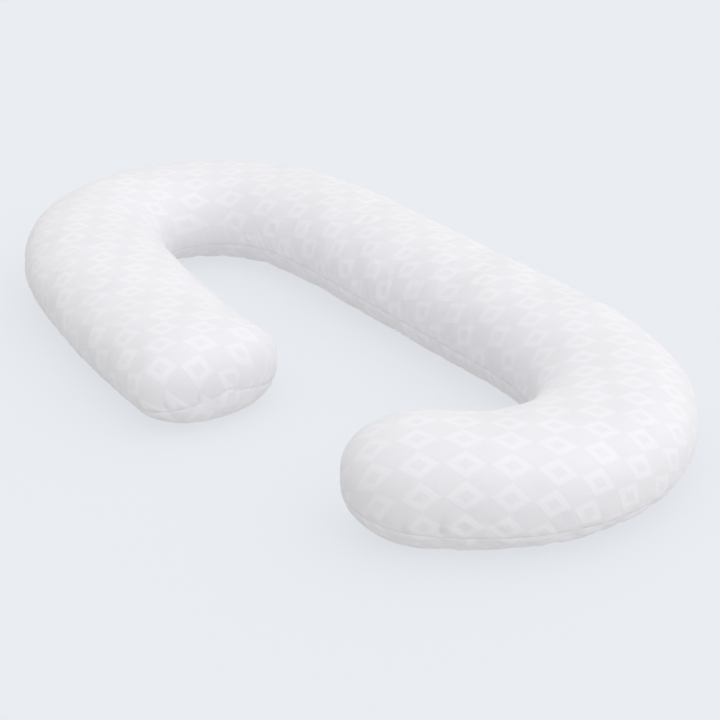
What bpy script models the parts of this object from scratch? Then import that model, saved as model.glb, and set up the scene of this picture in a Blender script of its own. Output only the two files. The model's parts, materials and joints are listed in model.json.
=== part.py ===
"""C-shaped nursing pillow: a zipped woven cover over a sewn casing that holds fibre filling.

The pillow lies on its underside.  Its straight back runs along X, its arms curl towards -Y and the
zip is in the outer seam of the back, on the +Y side.  Shapes are worked out from the middle of the
back, and everything is parented to an empty that puts the origin under the middle of the whole.
"""

import math
from typing import NamedTuple

import bmesh
import bpy
import numpy as np

# Sizes are in metres and angles in degrees.

# ---- Section of the stuffed tube, outside the cover ----
BACK_HALF_WIDTH = 0.117
BACK_HEIGHT = 0.172
WIDEST_HEIGHT_SHARE = 0.476  # height of the widest line, as a share of the height there
BACK_SEAM_ANGLE = 11.0  # how far round the section the side seams lie, below its widest line
ARM_SEAM_ANGLE = 20.0
SECTION_ROUNDNESS = 2.3  # exponent of the superellipse; 2 is an ellipse and more is boxier
UNDERSIDE_SAG = 0.008  # how far the underside would bulge below the surface it rests on
BACK_BOW = 44.5  # turn per metre of both halves, past the straight stretch

# ---- Sewn layers ----
COVER_THICKNESS = 0.0020
CASING_THICKNESS = 0.0012
LAYER_GAP = 0.0012
FIT_GAP = 0.0003  # between pieces that touch
THREAD_DIAMETER = 0.0005
CLOSING_STITCH_LENGTH = 0.150
CLOSING_STITCH_STEP = 0.006
CLOSING_STITCH_HEIGHT = 0.003

# ---- Coil zip ----
ZIP_LENGTH = 0.460  # of the coils, end to end
TAPE_WIDTH = 0.0150
TAPE_THICKNESS = 0.0006
TAPE_END = 0.0150  # of tape past each end of the coils
COIL_WIDTH = 0.0025
COIL_THICKNESS = 0.0020
COIL_SPACING = 0.0014  # left between the two coils for the slider's web
STOP_LENGTH = 0.0030
MOUTH_MARGIN = 0.0020  # between a coil's side and the folded edge of the cover
BAND_MARGIN = 0.0030  # of flat side past the zip and its pull
BAND_FADE = 0.0100  # over which the flat side becomes round again
STITCH_FROM_EDGE = 0.0030
STITCH_WIDTH = 0.0005
STITCH_HEIGHT = 0.0004
BARTACK_WIDTH = 0.0016

# ---- Slider and pull ----
SLIDER_LENGTH = 0.0120
SLIDER_PLATE = 0.0010
SLIDER_BACK_PLATE = 0.0008
SLIDER_BACK_WIDTH = 0.0070
SLIDER_WEB = 0.0008
SLIDER_FLANGE = 0.0008
SLIDER_ROOM = 0.0004  # behind the slider, in front of the casing
SLIDER_STOP_GAP = 0.0005
CROWN_LENGTH = 0.0080
CROWN_WIDTH = 0.0020
CROWN_BAR = 0.0010
PULL_LENGTH = 0.0240
PULL_THICKNESS = 0.0010
PULL_LEG = 0.0013
PULL_TIP_WIDTH = 0.0076
PULL_CORNER = 0.0012
EDGE_ROUNDING = 0.0002

# ---- Care label ----
LABEL_WIDTH = 0.0300
LABEL_DROP = 0.0350
LABEL_THICKNESS = 0.0008
LABEL_PLACE = -0.1500  # along the back

# ---- Fineness of the lofts ----
ARM_RINGS = 22
TIP_RINGS = 6
PANEL_ROWS = 10
ROW_CROWDING = 0.25  # how much the rows crowd towards the two side seams
TIP_BLUNTNESS = 2.2  # exponent of a tip's outline in plan; 2 is an ellipse
TIP_HEIGHT_POWER = 0.8  # a tip stays tall for longer than it stays wide
PATH_STEPS = 1200
ROUNDING_ERROR = 1e-9
WELD_DISTANCE = 1e-7


class Arm(NamedTuple):
    """Half of the pillow, from the middle of its back to an arm's tip."""

    side: int  # -1 towards -X, +1 towards +X
    straight_run: float  # between the zip's stretch and the bend
    bend_length: float
    bend_turn: float
    tip_run: float  # between the bend and the tip
    tip_turn: float  # turn per metre of the tip run
    tip_length: float  # over which the tip closes
    bend_half_width: float
    tip_half_width: float
    bend_height: float
    tip_height: float


HEAD_ARM = Arm(-1, 0.090, 0.787, 130.0, 0.487, -21.5, 0.085, 0.131, 0.132, 0.157, 0.147)
KNEE_ARM = Arm(+1, 0.042, 0.748, 103.5, 0.044, 16.5, 0.142, 0.129, 0.108, 0.163, 0.176)

# ---- Worked out from the sizes above ----
COIL_INNER = COIL_SPACING / 2
COIL_OUTER = COIL_INNER + COIL_WIDTH
FLANGE_INNER = COIL_OUTER + FIT_GAP
FLANGE_OUTER = FLANGE_INNER + SLIDER_FLANGE
MOUTH_HALF_HEIGHT = FLANGE_OUTER + MOUTH_MARGIN / 2
CASING_INSET = COVER_THICKNESS + LAYER_GAP
CASING_THREAD_INSET = CASING_INSET + CASING_THICKNESS + LAYER_GAP / 2
FILL_INSET = CASING_INSET + CASING_THICKNESS + LAYER_GAP
ZIP_STACK = COVER_THICKNESS + 2 * FIT_GAP + TAPE_THICKNESS + SLIDER_BACK_PLATE + SLIDER_ROOM
ZIP_RECESS = ZIP_STACK - CASING_INSET
SLIDER_REACH = ZIP_LENGTH / 2 - SLIDER_STOP_GAP - SLIDER_LENGTH / 2
SLIDE_TRAVEL = 2 * SLIDER_REACH
MOUTH_OPEN_TO = ZIP_LENGTH / 2 + FIT_GAP + STOP_LENGTH + FIT_GAP
BAND_REACH = max(ZIP_LENGTH / 2 + TAPE_END, SLIDER_REACH + PULL_LENGTH) + BAND_MARGIN
STRAIGHT_REACH = BAND_REACH + BAND_FADE
TAPE_HALF_LENGTH = ZIP_LENGTH / 2 + TAPE_END
ZIP_RINGS = [0.0, MOUTH_OPEN_TO, BAND_REACH, STRAIGHT_REACH]
MIDDLE_RING = len(ZIP_RINGS) - 1 + ARM_RINGS - 1 + TIP_RINGS
STITCH_LINE = MOUTH_HALF_HEIGHT + STITCH_FROM_EDGE


# ---- Shape of the stuffed tube ----
def ease(share):
    """Smooth step from 0 to 1."""
    share = np.clip(share, 0.0, 1.0)
    return share * share * (3.0 - 2.0 * share)


def bend_start(arm):
    return STRAIGHT_REACH + arm.straight_run


def bend_end(arm):
    return bend_start(arm) + arm.bend_length


def arm_length(arm):
    return bend_end(arm) + arm.tip_run


def path(arm, distance):
    """Place and heading on the centre line at distances from the middle of the back."""
    along = np.linspace(0.0, arm_length(arm), PATH_STEPS)
    turn = BACK_BOW * np.maximum(along - STRAIGHT_REACH, 0.0)
    turn += arm.bend_turn * ease((along - bend_start(arm)) / arm.bend_length)
    turn += arm.tip_turn * np.maximum(along - bend_end(arm), 0.0)
    heading = np.radians(turn)
    middle = (heading[1:] + heading[:-1]) / 2
    step = along[1]
    x = np.concatenate(([0.0], np.cumsum(np.cos(middle) * step)))
    y = np.concatenate(([0.0], np.cumsum(-np.sin(middle) * step)))
    return [np.interp(distance, along, values) for values in (x, y, heading)]


def taper(arm, distance, back, bend, tip):
    """A size that eases from its value at the back to the one in the bend and the one at the tip."""
    mid_bend = (bend_start(arm) + bend_end(arm)) / 2
    to_bend = ease((distance - STRAIGHT_REACH) / (mid_bend - STRAIGHT_REACH))
    to_tip = ease((distance - mid_bend) / (arm_length(arm) - mid_bend))
    return np.where(distance < mid_bend, back + (bend - back) * to_bend, bend + (tip - bend) * to_tip)


def rings(arm, inset):
    """Rings of an arm's layer that lies `inset` inside the cover's face, one column each.

    A ring has its place (x, y), the direction of the outer side (x, y), its half width, the height
    where it is widest, its rise and its drop from there, the angle of its seams and its distance
    from the back's middle.
    """
    closing = np.linspace(0.0, math.pi / 2, TIP_RINGS + 1)
    tip_start = arm_length(arm) - arm.tip_length
    arm_places = np.linspace(STRAIGHT_REACH, tip_start, ARM_RINGS)[1:]
    tip_places = tip_start + (arm.tip_length - inset) * np.sin(closing[1:]) ** (2 / TIP_BLUNTNESS)
    distance = np.concatenate((ZIP_RINGS, arm_places, tip_places))
    full = np.ones(len(ZIP_RINGS) + len(arm_places))
    closeness = np.concatenate((full, np.cos(closing[1:])))
    closeness[-1] = 0.0
    x, y, heading = path(arm, distance)
    half_width = taper(arm, distance, BACK_HALF_WIDTH, arm.bend_half_width, arm.tip_half_width)
    height = taper(arm, distance, BACK_HEIGHT, arm.bend_height, arm.tip_height)
    tallness = closeness**TIP_HEIGHT_POWER
    return np.array(
        [
            arm.side * x,
            y,
            arm.side * np.sin(heading),
            np.cos(heading),
            (half_width - inset) * closeness,
            WIDEST_HEIGHT_SHARE * height,
            ((1 - WIDEST_HEIGHT_SHARE) * height - inset) * tallness,
            (WIDEST_HEIGHT_SHARE * height + UNDERSIDE_SAG - inset) * tallness,
            taper(arm, distance, BACK_SEAM_ANGLE, ARM_SEAM_ANGLE, ARM_SEAM_ANGLE),
            distance,
        ]
    )


def all_rings(inset):
    """The rings of both arms in one row, from the head arm's tip to the knee arm's."""
    return np.concatenate((rings(HEAD_ARM, inset)[:, ::-1], rings(KNEE_ARM, inset)[:, 1:]), axis=1)


def section(direction, seam_angle):
    """Across and upward places of a half's rows from -1 to 1, from its outer seam to its inner one."""
    share = np.linspace(0.0, 1.0, PANEL_ROWS + 1)
    crowded = share - ROW_CROWDING * np.sin(2 * math.pi * share) / (2 * math.pi)
    below = np.radians(seam_angle)
    angle = direction * (math.pi + 2 * direction * below) * crowded - below
    power = 2 / SECTION_ROUNDNESS
    across = np.sign(np.cos(angle)) * np.abs(np.cos(angle)) ** power
    upward = np.sign(np.sin(angle)) * np.abs(np.sin(angle)) ** power
    return across, upward


def band_offset():
    """How far from the centre line the flat band round the zip lies, at the cover's face."""
    return BACK_HALF_WIDTH * section(-1, BACK_SEAM_ANGLE)[0][1]


def half_layer(direction, inset, recess=0.0, edge_gap=0.0, mouth=0.0):
    """Points of a layer's upper (+1) or lower (-1) half, as rings by rows, with the tips at both ends.

    `recess` sets the layer back behind the zip, `edge_gap` keeps its edge off the seam's plane and
    `mouth` opens its outer edge along the zip.
    """
    x, y, out_x, out_y, half_width, widest, rise, drop, seam_angle, distance = all_rings(inset)
    across, upward = section(direction, seam_angle[:, None])
    offset = half_width[:, None] * across
    in_band = (distance <= BAND_REACH + ROUNDING_ERROR)[:, None]
    band = np.minimum(offset[:, :2], band_offset() - inset - recess)
    offset[:, :2] = np.where(in_band, band, offset[:, :2])
    z = widest[:, None] + np.where(upward > 0.0, rise[:, None], drop[:, None]) * upward
    z[:, -1] += direction * edge_gap
    in_mouth = distance <= MOUTH_OPEN_TO + ROUNDING_ERROR
    z[:, 0] += direction * np.where(in_mouth, max(mouth, edge_gap), edge_gap)
    z = np.maximum(z, inset)
    return np.stack((x[:, None] + offset * out_x[:, None], y[:, None] + offset * out_y[:, None], z), axis=2)


def edge_points(inset, recess=0.0):
    """The two edges of a layer, outer and inner, as points along the seam."""
    points = half_layer(+1, inset, recess)
    return points[:, 0], points[:, -1]


def whole_centre():
    """Middle of the whole pillow's outline in plan, with the slider's crown."""
    outline = np.concatenate([half_layer(side, 0.0).reshape(-1, 3) for side in (+1, -1)])
    low = outline.min(axis=0)
    high = outline.max(axis=0)
    high[1] = max(high[1], crown_top())
    return (low[:2] + high[:2]) / 2


# ---- Heights of the zip's pieces above the centre line, from the cover's face ----
def tape_front():
    return band_offset() - COVER_THICKNESS - FIT_GAP


def coil_back():
    return tape_front() + FIT_GAP


def coil_front():
    return coil_back() + COIL_THICKNESS


def plate_back():
    return coil_front() + FIT_GAP


def plate_front():
    return plate_back() + SLIDER_PLATE


def pull_swing():
    """Radius that the pull's end bar needs round its axis."""
    return PULL_THICKNESS / math.sqrt(2) + FIT_GAP


def pull_axis():
    return plate_front() + pull_swing()


def crown_top():
    return pull_axis() + pull_swing() + CROWN_BAR


def zip_height():
    """Height of the back's outer seam, along the zip's middle line."""
    return half_layer(-1, 0.0)[MIDDLE_RING, 0, 2]


# ---- Scene and materials ----
def clear_scene():
    for item in list(bpy.data.objects):
        bpy.data.objects.remove(item, do_unlink=True)


def new_collection(name):
    collection = bpy.data.collections.new(name)
    bpy.context.scene.collection.children.link(collection)
    return collection


def new_material(name, colour, roughness, metallic=0.0):
    material = bpy.data.materials.new(name)
    material.use_nodes = True
    shader = material.node_tree.nodes["Principled BSDF"]
    shader.inputs["Base Color"].default_value = (*colour, 1.0)
    shader.inputs["Roughness"].default_value = roughness
    shader.inputs["Metallic"].default_value = metallic
    return material


clear_scene()
PARTS = new_collection("nursing_pillow")
CUTTERS = new_collection("cutters")
PILLOW = bpy.data.objects.new("pillow_middle_of_back", None)
PILLOW.location = (-whole_centre()[0], -whole_centre()[1], 0.0)
PARTS.objects.link(PILLOW)


def add_part(name, data, material, location=(0.0, 0.0, 0.0)):
    part = bpy.data.objects.new(name, data)
    part.location = location
    part.parent = PILLOW
    PARTS.objects.link(part)
    data.materials.clear()
    data.materials.append(material)
    return part


def add_cutter(name, data, location=(0.0, 0.0, 0.0)):
    cutter = bpy.data.objects.new(name, data)
    cutter.location = location
    cutter.parent = PILLOW
    cutter.hide_render = True
    cutter.display_type = "WIRE"
    CUTTERS.objects.link(cutter)
    return cutter


def add_boolean(part, cutter, operation):
    modifier = part.modifiers.new(cutter.name, "BOOLEAN")
    modifier.operation = operation
    modifier.object = cutter


def add_rounding(part, width):
    modifier = part.modifiers.new("rounded edges", "BEVEL")
    modifier.width = width
    modifier.segments = 1
    modifier.limit_method = "ANGLE"


# ---- Mesh makers ----
def loft_mesh(name, grids, joins):
    """A closed mesh from grids of points, rings by rows, whose first and last rings are single points.

    Each cell is cut along the same diagonal in every layer, so that layers stay parallel.  `joins`
    lists the pairs of edges to bridge, each as (grid number, row number).
    """
    build = bmesh.new()
    corners = [[[build.verts.new(point) for point in ring] for ring in grid] for grid in grids]
    for grid in corners:
        for ring, next_ring in zip(grid, grid[1:]):
            for row in range(len(ring) - 1):
                build.faces.new((ring[row], ring[row + 1], next_ring[row + 1]))
                build.faces.new((ring[row], next_ring[row + 1], next_ring[row]))
    for (grid_a, row_a), (grid_b, row_b) in joins:
        edge_a = [ring[row_a] for ring in corners[grid_a]]
        edge_b = [ring[row_b] for ring in corners[grid_b]]
        for place in range(len(edge_a) - 1):
            build.faces.new((edge_a[place], edge_a[place + 1], edge_b[place + 1]))
            build.faces.new((edge_a[place], edge_b[place + 1], edge_b[place]))
    bmesh.ops.remove_doubles(build, verts=build.verts, dist=WELD_DISTANCE)
    bmesh.ops.recalc_face_normals(build, faces=build.faces)
    mesh = bpy.data.meshes.new(name)
    build.to_mesh(mesh)
    build.free()
    mesh.shade_smooth()
    mesh.set_sharp_from_angle(angle=math.radians(40.0))
    return mesh


def prism_mesh(name, outline, thickness, axis):
    """A flat outline, centred on its plane and extruded by its thickness along the named axis."""
    place = "XYZ".index(axis)
    build = bmesh.new()
    low = [np.insert(point, place, -thickness / 2) for point in outline]
    face = build.faces.new([build.verts.new(point) for point in low])
    raised = bmesh.ops.extrude_face_region(build, geom=[face])["geom"]
    moved = [item for item in raised if isinstance(item, bmesh.types.BMVert)]
    bmesh.ops.translate(build, verts=moved, vec=np.insert((0.0, 0.0), place, thickness))
    bmesh.ops.recalc_face_normals(build, faces=build.faces)
    mesh = bpy.data.meshes.new(name)
    build.to_mesh(mesh)
    build.free()
    return mesh


def box_mesh(name, low, high):
    """A box between two corners."""
    build = bmesh.new()
    bmesh.ops.create_cube(build, size=1.0)
    size = [upper - lower for lower, upper in zip(low, high)]
    middle = [(upper + lower) / 2 for lower, upper in zip(low, high)]
    bmesh.ops.scale(build, verts=build.verts, vec=size)
    bmesh.ops.translate(build, verts=build.verts, vec=middle)
    mesh = bpy.data.meshes.new(name)
    build.to_mesh(mesh)
    build.free()
    return mesh


def thread_curve(name, points):
    """A sewing thread along a list of points, as a square-sided tube with closed ends."""
    curve = bpy.data.curves.new(name, "CURVE")
    curve.dimensions = "3D"
    curve.bevel_depth = THREAD_DIAMETER / 2
    curve.bevel_resolution = 0
    curve.use_fill_caps = True
    spline = curve.splines.new("POLY")
    spline.points.add(len(points) - 1)
    for control, point in zip(spline.points, points):
        control.co = (*point, 1.0)
    return curve


# ---- Cover, casing and filling ----
def make_panel(name, direction, inset, thickness, material, recess=0.0, mouth=0.0):
    """One half of a sewn layer: a face, a lining face and the cut edge round them."""
    outer = half_layer(direction, inset, recess, FIT_GAP / 2, mouth)
    inner = half_layer(direction, inset + thickness, recess, FIT_GAP / 2, mouth)
    rows = [((0, 0), (1, 0)), ((0, -1), (1, -1))]
    add_part(name, loft_mesh(name, [outer, inner], rows), material)


def make_filling(material):
    upper = half_layer(+1, FILL_INSET, ZIP_RECESS)
    lower = half_layer(-1, FILL_INSET, ZIP_RECESS)
    add_part("fibre_filling", loft_mesh("fibre_filling", [upper, lower], []), material)


def make_cover_seam_thread(material):
    """The thread inside the cover's seam, from one end of the zip round both tips to the other."""
    outer, inner = edge_points(COVER_THICKNESS + LAYER_GAP / 2)
    band = ZIP_RINGS.index(BAND_REACH)
    loop = np.concatenate((outer[MIDDLE_RING + band :], inner[-2::-1], outer[1 : MIDDLE_RING - band + 1]))
    add_part("cover_seam_thread", thread_curve("cover_seam_thread", loop), material)


def make_casing_seam_thread(material):
    """The thread inside the casing's seam, from one end of the filling hole round to the other."""
    outer, inner = edge_points(CASING_THREAD_INSET, ZIP_RECESS)
    start = inner[MIDDLE_RING] + (CLOSING_STITCH_LENGTH / 2, 0.0, 0.0)
    end = inner[MIDDLE_RING] - (CLOSING_STITCH_LENGTH / 2, 0.0, 0.0)
    run = (inner[MIDDLE_RING + 1 :], outer[-2::-1], inner[1:MIDDLE_RING])
    loop = np.concatenate(([start], *run, [end]))
    add_part("casing_seam_thread", thread_curve("casing_seam_thread", loop), material)


def beside_inner_seam(direction):
    """A point half a stitch away from the back's inner seam, on the upper (+1) or lower (-1) panel."""
    seam, next_row = half_layer(direction, CASING_THREAD_INSET)[MIDDLE_RING, [-1, -2]]
    away = (next_row - seam) / np.linalg.norm(next_row - seam)
    return seam + away * CLOSING_STITCH_HEIGHT / 2


def make_closing_stitch(material):
    """Slip stitches that close the filling hole, zigzag across the inner seam inside the casing."""
    count = round(CLOSING_STITCH_LENGTH / CLOSING_STITCH_STEP)
    reach = CLOSING_STITCH_LENGTH / 2 - FIT_GAP
    on_upper = (np.arange(count + 1) % 2 == 1)[:, None]
    points = np.where(on_upper, beside_inner_seam(+1), beside_inner_seam(-1))
    points[:, 0] = np.linspace(-reach, reach, count + 1)
    add_part("casing_closing_stitch", thread_curve("casing_closing_stitch", points), material)


# ---- Zip ----
def add_bar(name, x_range, y_range, z_range, material):
    """A box on the zip, with its heights counted from the zip's middle line."""
    low = (x_range[0], y_range[0], zip_height() + z_range[0])
    high = (x_range[1], y_range[1], zip_height() + z_range[1])
    return add_part(name, box_mesh(name, low, high), material)


def both_rows(inner, outer):
    """The upper and lower one of a pair of rows, as a name and a range of heights."""
    return (("upper", (inner, outer)), ("lower", (-outer, -inner)))


def make_tapes(material):
    y_range = (tape_front() - TAPE_THICKNESS, tape_front())
    x_range = (-TAPE_HALF_LENGTH, TAPE_HALF_LENGTH)
    for row, z_range in both_rows(COIL_INNER, COIL_INNER + TAPE_WIDTH):
        add_bar(f"zip_tape_{row}", x_range, y_range, z_range, material)


def make_coils(material):
    x_range = (-ZIP_LENGTH / 2, ZIP_LENGTH / 2)
    for row, z_range in both_rows(COIL_INNER, COIL_OUTER):
        add_bar(f"zip_coil_{row}", x_range, (coil_back(), coil_front()), z_range, material)


def make_stops(material):
    start = ZIP_LENGTH / 2 + FIT_GAP
    y_range = (coil_back(), coil_front())
    for row, z_range in both_rows(COIL_INNER, COIL_OUTER):
        stop = add_bar(f"zip_top_stop_{row}", (start, start + STOP_LENGTH), y_range, z_range, material)
        add_rounding(stop, EDGE_ROUNDING)
    z_range = (-COIL_OUTER, COIL_OUTER)
    stop = add_bar("zip_bottom_stop", (-start - STOP_LENGTH, -start), y_range, z_range, material)
    add_rounding(stop, EDGE_ROUNDING)


def make_topstitching(material):
    x_range = (-TAPE_HALF_LENGTH, TAPE_HALF_LENGTH)
    y_range = (band_offset() + FIT_GAP, band_offset() + FIT_GAP + STITCH_HEIGHT)
    for row, z_range in both_rows(STITCH_LINE - STITCH_WIDTH / 2, STITCH_LINE + STITCH_WIDTH / 2):
        add_bar(f"zip_topstitch_{row}", x_range, y_range, z_range, material)


def make_bartacks(material):
    """Dense stitches that close the cover at both ends of the zip, between the topstitch rows."""
    y_range = (band_offset() + FIT_GAP, band_offset() + FIT_GAP + STITCH_HEIGHT)
    reach = STITCH_LINE - STITCH_WIDTH / 2 - FIT_GAP
    start = MOUTH_OPEN_TO + BARTACK_WIDTH
    for end, x_range in (
        ("left", (-start - BARTACK_WIDTH, -start)),
        ("right", (start, start + BARTACK_WIDTH)),
    ):
        add_bar(f"zip_bartack_{end}", x_range, y_range, (-reach, reach), material)


def make_care_label(material):
    x_range = (LABEL_PLACE - LABEL_WIDTH / 2, LABEL_PLACE + LABEL_WIDTH / 2)
    y_range = (band_offset() + FIT_GAP, band_offset() + FIT_GAP + LABEL_THICKNESS)
    top = -(STITCH_LINE + STITCH_WIDTH / 2 + FIT_GAP)
    add_bar("care_label", x_range, y_range, (top - LABEL_DROP, top), material)


def make_slider(material):
    """The zip's slider: one folded section along X, with a crown on its face that holds the pull.

    Its origin is the middle of its face.
    """
    place = (SLIDER_REACH, plate_front(), zip_height())
    flange_end = coil_back() + FIT_GAP - plate_front()
    back_face = tape_front() - TAPE_THICKNESS - FIT_GAP - plate_front()
    half_section = [
        (0.0, FLANGE_OUTER),
        (flange_end, FLANGE_OUTER),
        (flange_end, FLANGE_INNER),
        (-SLIDER_PLATE, FLANGE_INNER),
        (-SLIDER_PLATE, SLIDER_WEB / 2),
        (back_face, SLIDER_WEB / 2),
        (back_face, SLIDER_BACK_WIDTH / 2),
        (back_face - SLIDER_BACK_PLATE, SLIDER_BACK_WIDTH / 2),
    ]
    outline = half_section + [(y, -z) for y, z in reversed(half_section)]
    slider = add_part("zip_slider", prism_mesh("zip_slider", outline, SLIDER_LENGTH, "X"), material, place)
    outer_x = CROWN_LENGTH / 2
    inner_x = outer_x - CROWN_BAR
    sunk = -SLIDER_PLATE / 2
    top = crown_top() - plate_front()
    crown = [
        (-outer_x, sunk),
        (-inner_x, sunk),
        (-inner_x, top - CROWN_BAR),
        (inner_x, top - CROWN_BAR),
        (inner_x, sunk),
        (outer_x, sunk),
        (outer_x, top - CROWN_BAR / 2),
        (outer_x - CROWN_BAR / 2, top),
        (CROWN_BAR / 2 - outer_x, top),
        (-outer_x, top - CROWN_BAR / 2),
    ]
    arch = prism_mesh("slider_crown", crown, CROWN_WIDTH, "Z")
    add_boolean(slider, add_cutter("slider_crown", arch, place), "UNION")


def make_pull(material):
    """The pull, flat along the zip towards -X, with its end bar held under the slider's crown.

    Its origin is on the end bar's axis, about which it turns.
    """
    place = (SLIDER_REACH, pull_axis(), zip_height())
    window_half = CROWN_WIDTH / 2 + FIT_GAP
    neck_half = window_half + PULL_LEG
    tip_half = PULL_TIP_WIDTH / 2
    bar_end = PULL_THICKNESS / 2
    tip = bar_end - PULL_LENGTH
    half_outline = [
        (bar_end, neck_half),
        (-CROWN_LENGTH, neck_half),
        (-2 * CROWN_LENGTH, tip_half),
        (tip + PULL_CORNER, tip_half),
        (tip, tip_half - PULL_CORNER),
    ]
    outline = half_outline + [(x, -z) for x, z in reversed(half_outline)]
    pull = add_part("zip_pull", prism_mesh("zip_pull", outline, PULL_THICKNESS, "Y"), material, place)
    window_end = -math.hypot(CROWN_LENGTH / 2, crown_top() - pull_axis()) - FIT_GAP
    low = (window_end, -PULL_THICKNESS, -window_half)
    high = (-bar_end, PULL_THICKNESS, window_half)
    add_boolean(pull, add_cutter("pull_window", box_mesh("pull_window", low, high), place), "DIFFERENCE")


def make_pillow():
    cover = new_material("cover fabric", (0.90, 0.90, 0.92), 0.90)
    casing = new_material("casing fabric", (0.88, 0.88, 0.87), 0.95)
    fibre = new_material("polyester fibre", (0.95, 0.95, 0.95), 1.00)
    thread = new_material("sewing thread", (0.93, 0.93, 0.94), 0.70)
    tape = new_material("zip tape", (0.90, 0.90, 0.92), 0.85)
    coil = new_material("zip coil", (0.92, 0.92, 0.93), 0.40)
    metal = new_material("plated zinc", (0.75, 0.75, 0.77), 0.30, 1.0)
    satin = new_material("satin label", (0.95, 0.95, 0.95), 0.50)
    mouth = MOUTH_HALF_HEIGHT
    for half, direction in (("top", +1), ("bottom", -1)):
        make_panel(f"cover_{half}_panel", direction, 0.0, COVER_THICKNESS, cover, mouth=mouth)
        name = f"casing_{half}_panel"
        make_panel(name, direction, CASING_INSET, CASING_THICKNESS, casing, recess=ZIP_RECESS)
    make_filling(fibre)
    make_cover_seam_thread(thread)
    make_casing_seam_thread(thread)
    make_closing_stitch(thread)
    make_tapes(tape)
    make_coils(coil)
    make_stops(metal)
    make_topstitching(thread)
    make_bartacks(thread)
    make_care_label(satin)
    make_slider(metal)
    make_pull(metal)


make_pillow()
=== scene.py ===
"""Looks of a C-shaped nursing pillow: woven jacquard cover, filled casing and coil zip."""

import json
import math

import bpy
import numpy as np
from bpy.props import FloatProperty, FloatVectorProperty, IntProperty, PointerProperty
from bpy.types import Operator, Panel, PropertyGroup
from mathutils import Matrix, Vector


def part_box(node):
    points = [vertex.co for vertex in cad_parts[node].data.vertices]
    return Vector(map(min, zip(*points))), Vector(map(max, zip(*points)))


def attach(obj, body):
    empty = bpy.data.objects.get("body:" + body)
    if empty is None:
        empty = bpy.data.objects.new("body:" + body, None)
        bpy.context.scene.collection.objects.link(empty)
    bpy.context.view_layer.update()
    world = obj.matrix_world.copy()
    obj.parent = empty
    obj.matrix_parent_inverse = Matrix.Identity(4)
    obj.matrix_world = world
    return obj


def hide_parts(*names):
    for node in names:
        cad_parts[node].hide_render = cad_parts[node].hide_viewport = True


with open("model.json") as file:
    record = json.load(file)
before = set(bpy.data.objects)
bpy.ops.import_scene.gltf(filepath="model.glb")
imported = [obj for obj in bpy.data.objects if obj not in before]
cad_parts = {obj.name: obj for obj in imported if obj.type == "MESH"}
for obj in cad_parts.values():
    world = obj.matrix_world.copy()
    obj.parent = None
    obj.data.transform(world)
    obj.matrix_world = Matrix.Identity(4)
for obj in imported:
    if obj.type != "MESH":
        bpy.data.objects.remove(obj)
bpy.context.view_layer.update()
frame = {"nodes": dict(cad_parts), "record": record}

bl_info = {
    "name": "Nursing Pillow",
    "version": (1, 0, 0),
    "blender": (4, 5, 0),
    "location": "3D View > Sidebar > Pillow",
    "description": "Builds the cover, casing, filling and zip of a nursing pillow",
    "category": "Object",
}


# ---- Properties ----
def length(name, description, default):
    """A length property, in metres."""
    return FloatProperty(
        name=name, description=description, default=default, precision=4, unit="LENGTH", subtype="DISTANCE"
    )


def angle(name, description, degrees):
    """An angle property, given in degrees."""
    return FloatProperty(
        name=name, description=description, default=math.radians(degrees), unit="ROTATION", subtype="ANGLE"
    )


def number(name, description, default):
    """A plain number property."""
    return FloatProperty(name=name, description=description, default=default, precision=3)


def linear(hex_colour):
    """Linear red, green and blue of an sRGB hex colour."""
    channels = [int(hex_colour[at : at + 2], 16) / 255 for at in (1, 3, 5)]
    return [c / 12.92 if c <= 0.04045 else ((c + 0.055) / 1.055) ** 2.4 for c in channels]


def colour(name, description, hex_colour):
    """A colour property, given as sRGB hex."""
    return FloatVectorProperty(
        name=name, description=description, default=linear(hex_colour), subtype="COLOR", min=0.0, max=1.0
    )


def back_middle():
    """Point on the floor under the middle of the back, where the underside's mount is."""
    return frame["record"]["mounts"][0]["pos_m"]


class TubeSizes(PropertyGroup):
    """The stuffed tube's section and back, at the cover's face."""

    middle: FloatVectorProperty(
        name="Middle",
        description="Floor under the back's middle",
        default=back_middle(),
        subtype="TRANSLATION",
    )
    back_half_width: length("Back half width", "Half the back's depth", 0.117)
    back_height: length("Back height", "Height of the stuffed back", 0.172)
    widest_share: number("Widest share", "Height of the widest line as a share of the height", 0.476)
    back_seam_angle: angle("Back seam angle", "How far below the widest line the back's seams lie", 11.0)
    arm_seam_angle: angle("Arm seam angle", "How far below the widest line the arms' seams lie", 20.0)
    roundness: number("Roundness", "Exponent of the section; 2 is an ellipse", 2.3)
    sag: length("Sag", "How far the underside would bulge below the floor", 0.008)
    back_bow: number("Back bow", "Degrees of turn per metre past the straight stretch", 44.5)
    straight_reach: length("Straight reach", "Straight stretch each side of the back's middle", 0.2605)
    band_reach: length("Band reach", "Flat side each side of the back's middle", 0.2505)
    band_offset: length("Band offset", "From the centre line to the flat side round the zip", 0.1088)
    band_fade: length("Band fade", "Length past the zip over which its flat band fades out", 0.050)
    tip_bluntness: number("Tip bluntness", "Exponent of a tip's outline; 2 is an ellipse", 2.2)
    tip_height_power: number("Tip height power", "How long a tip stays tall", 0.8)


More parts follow.
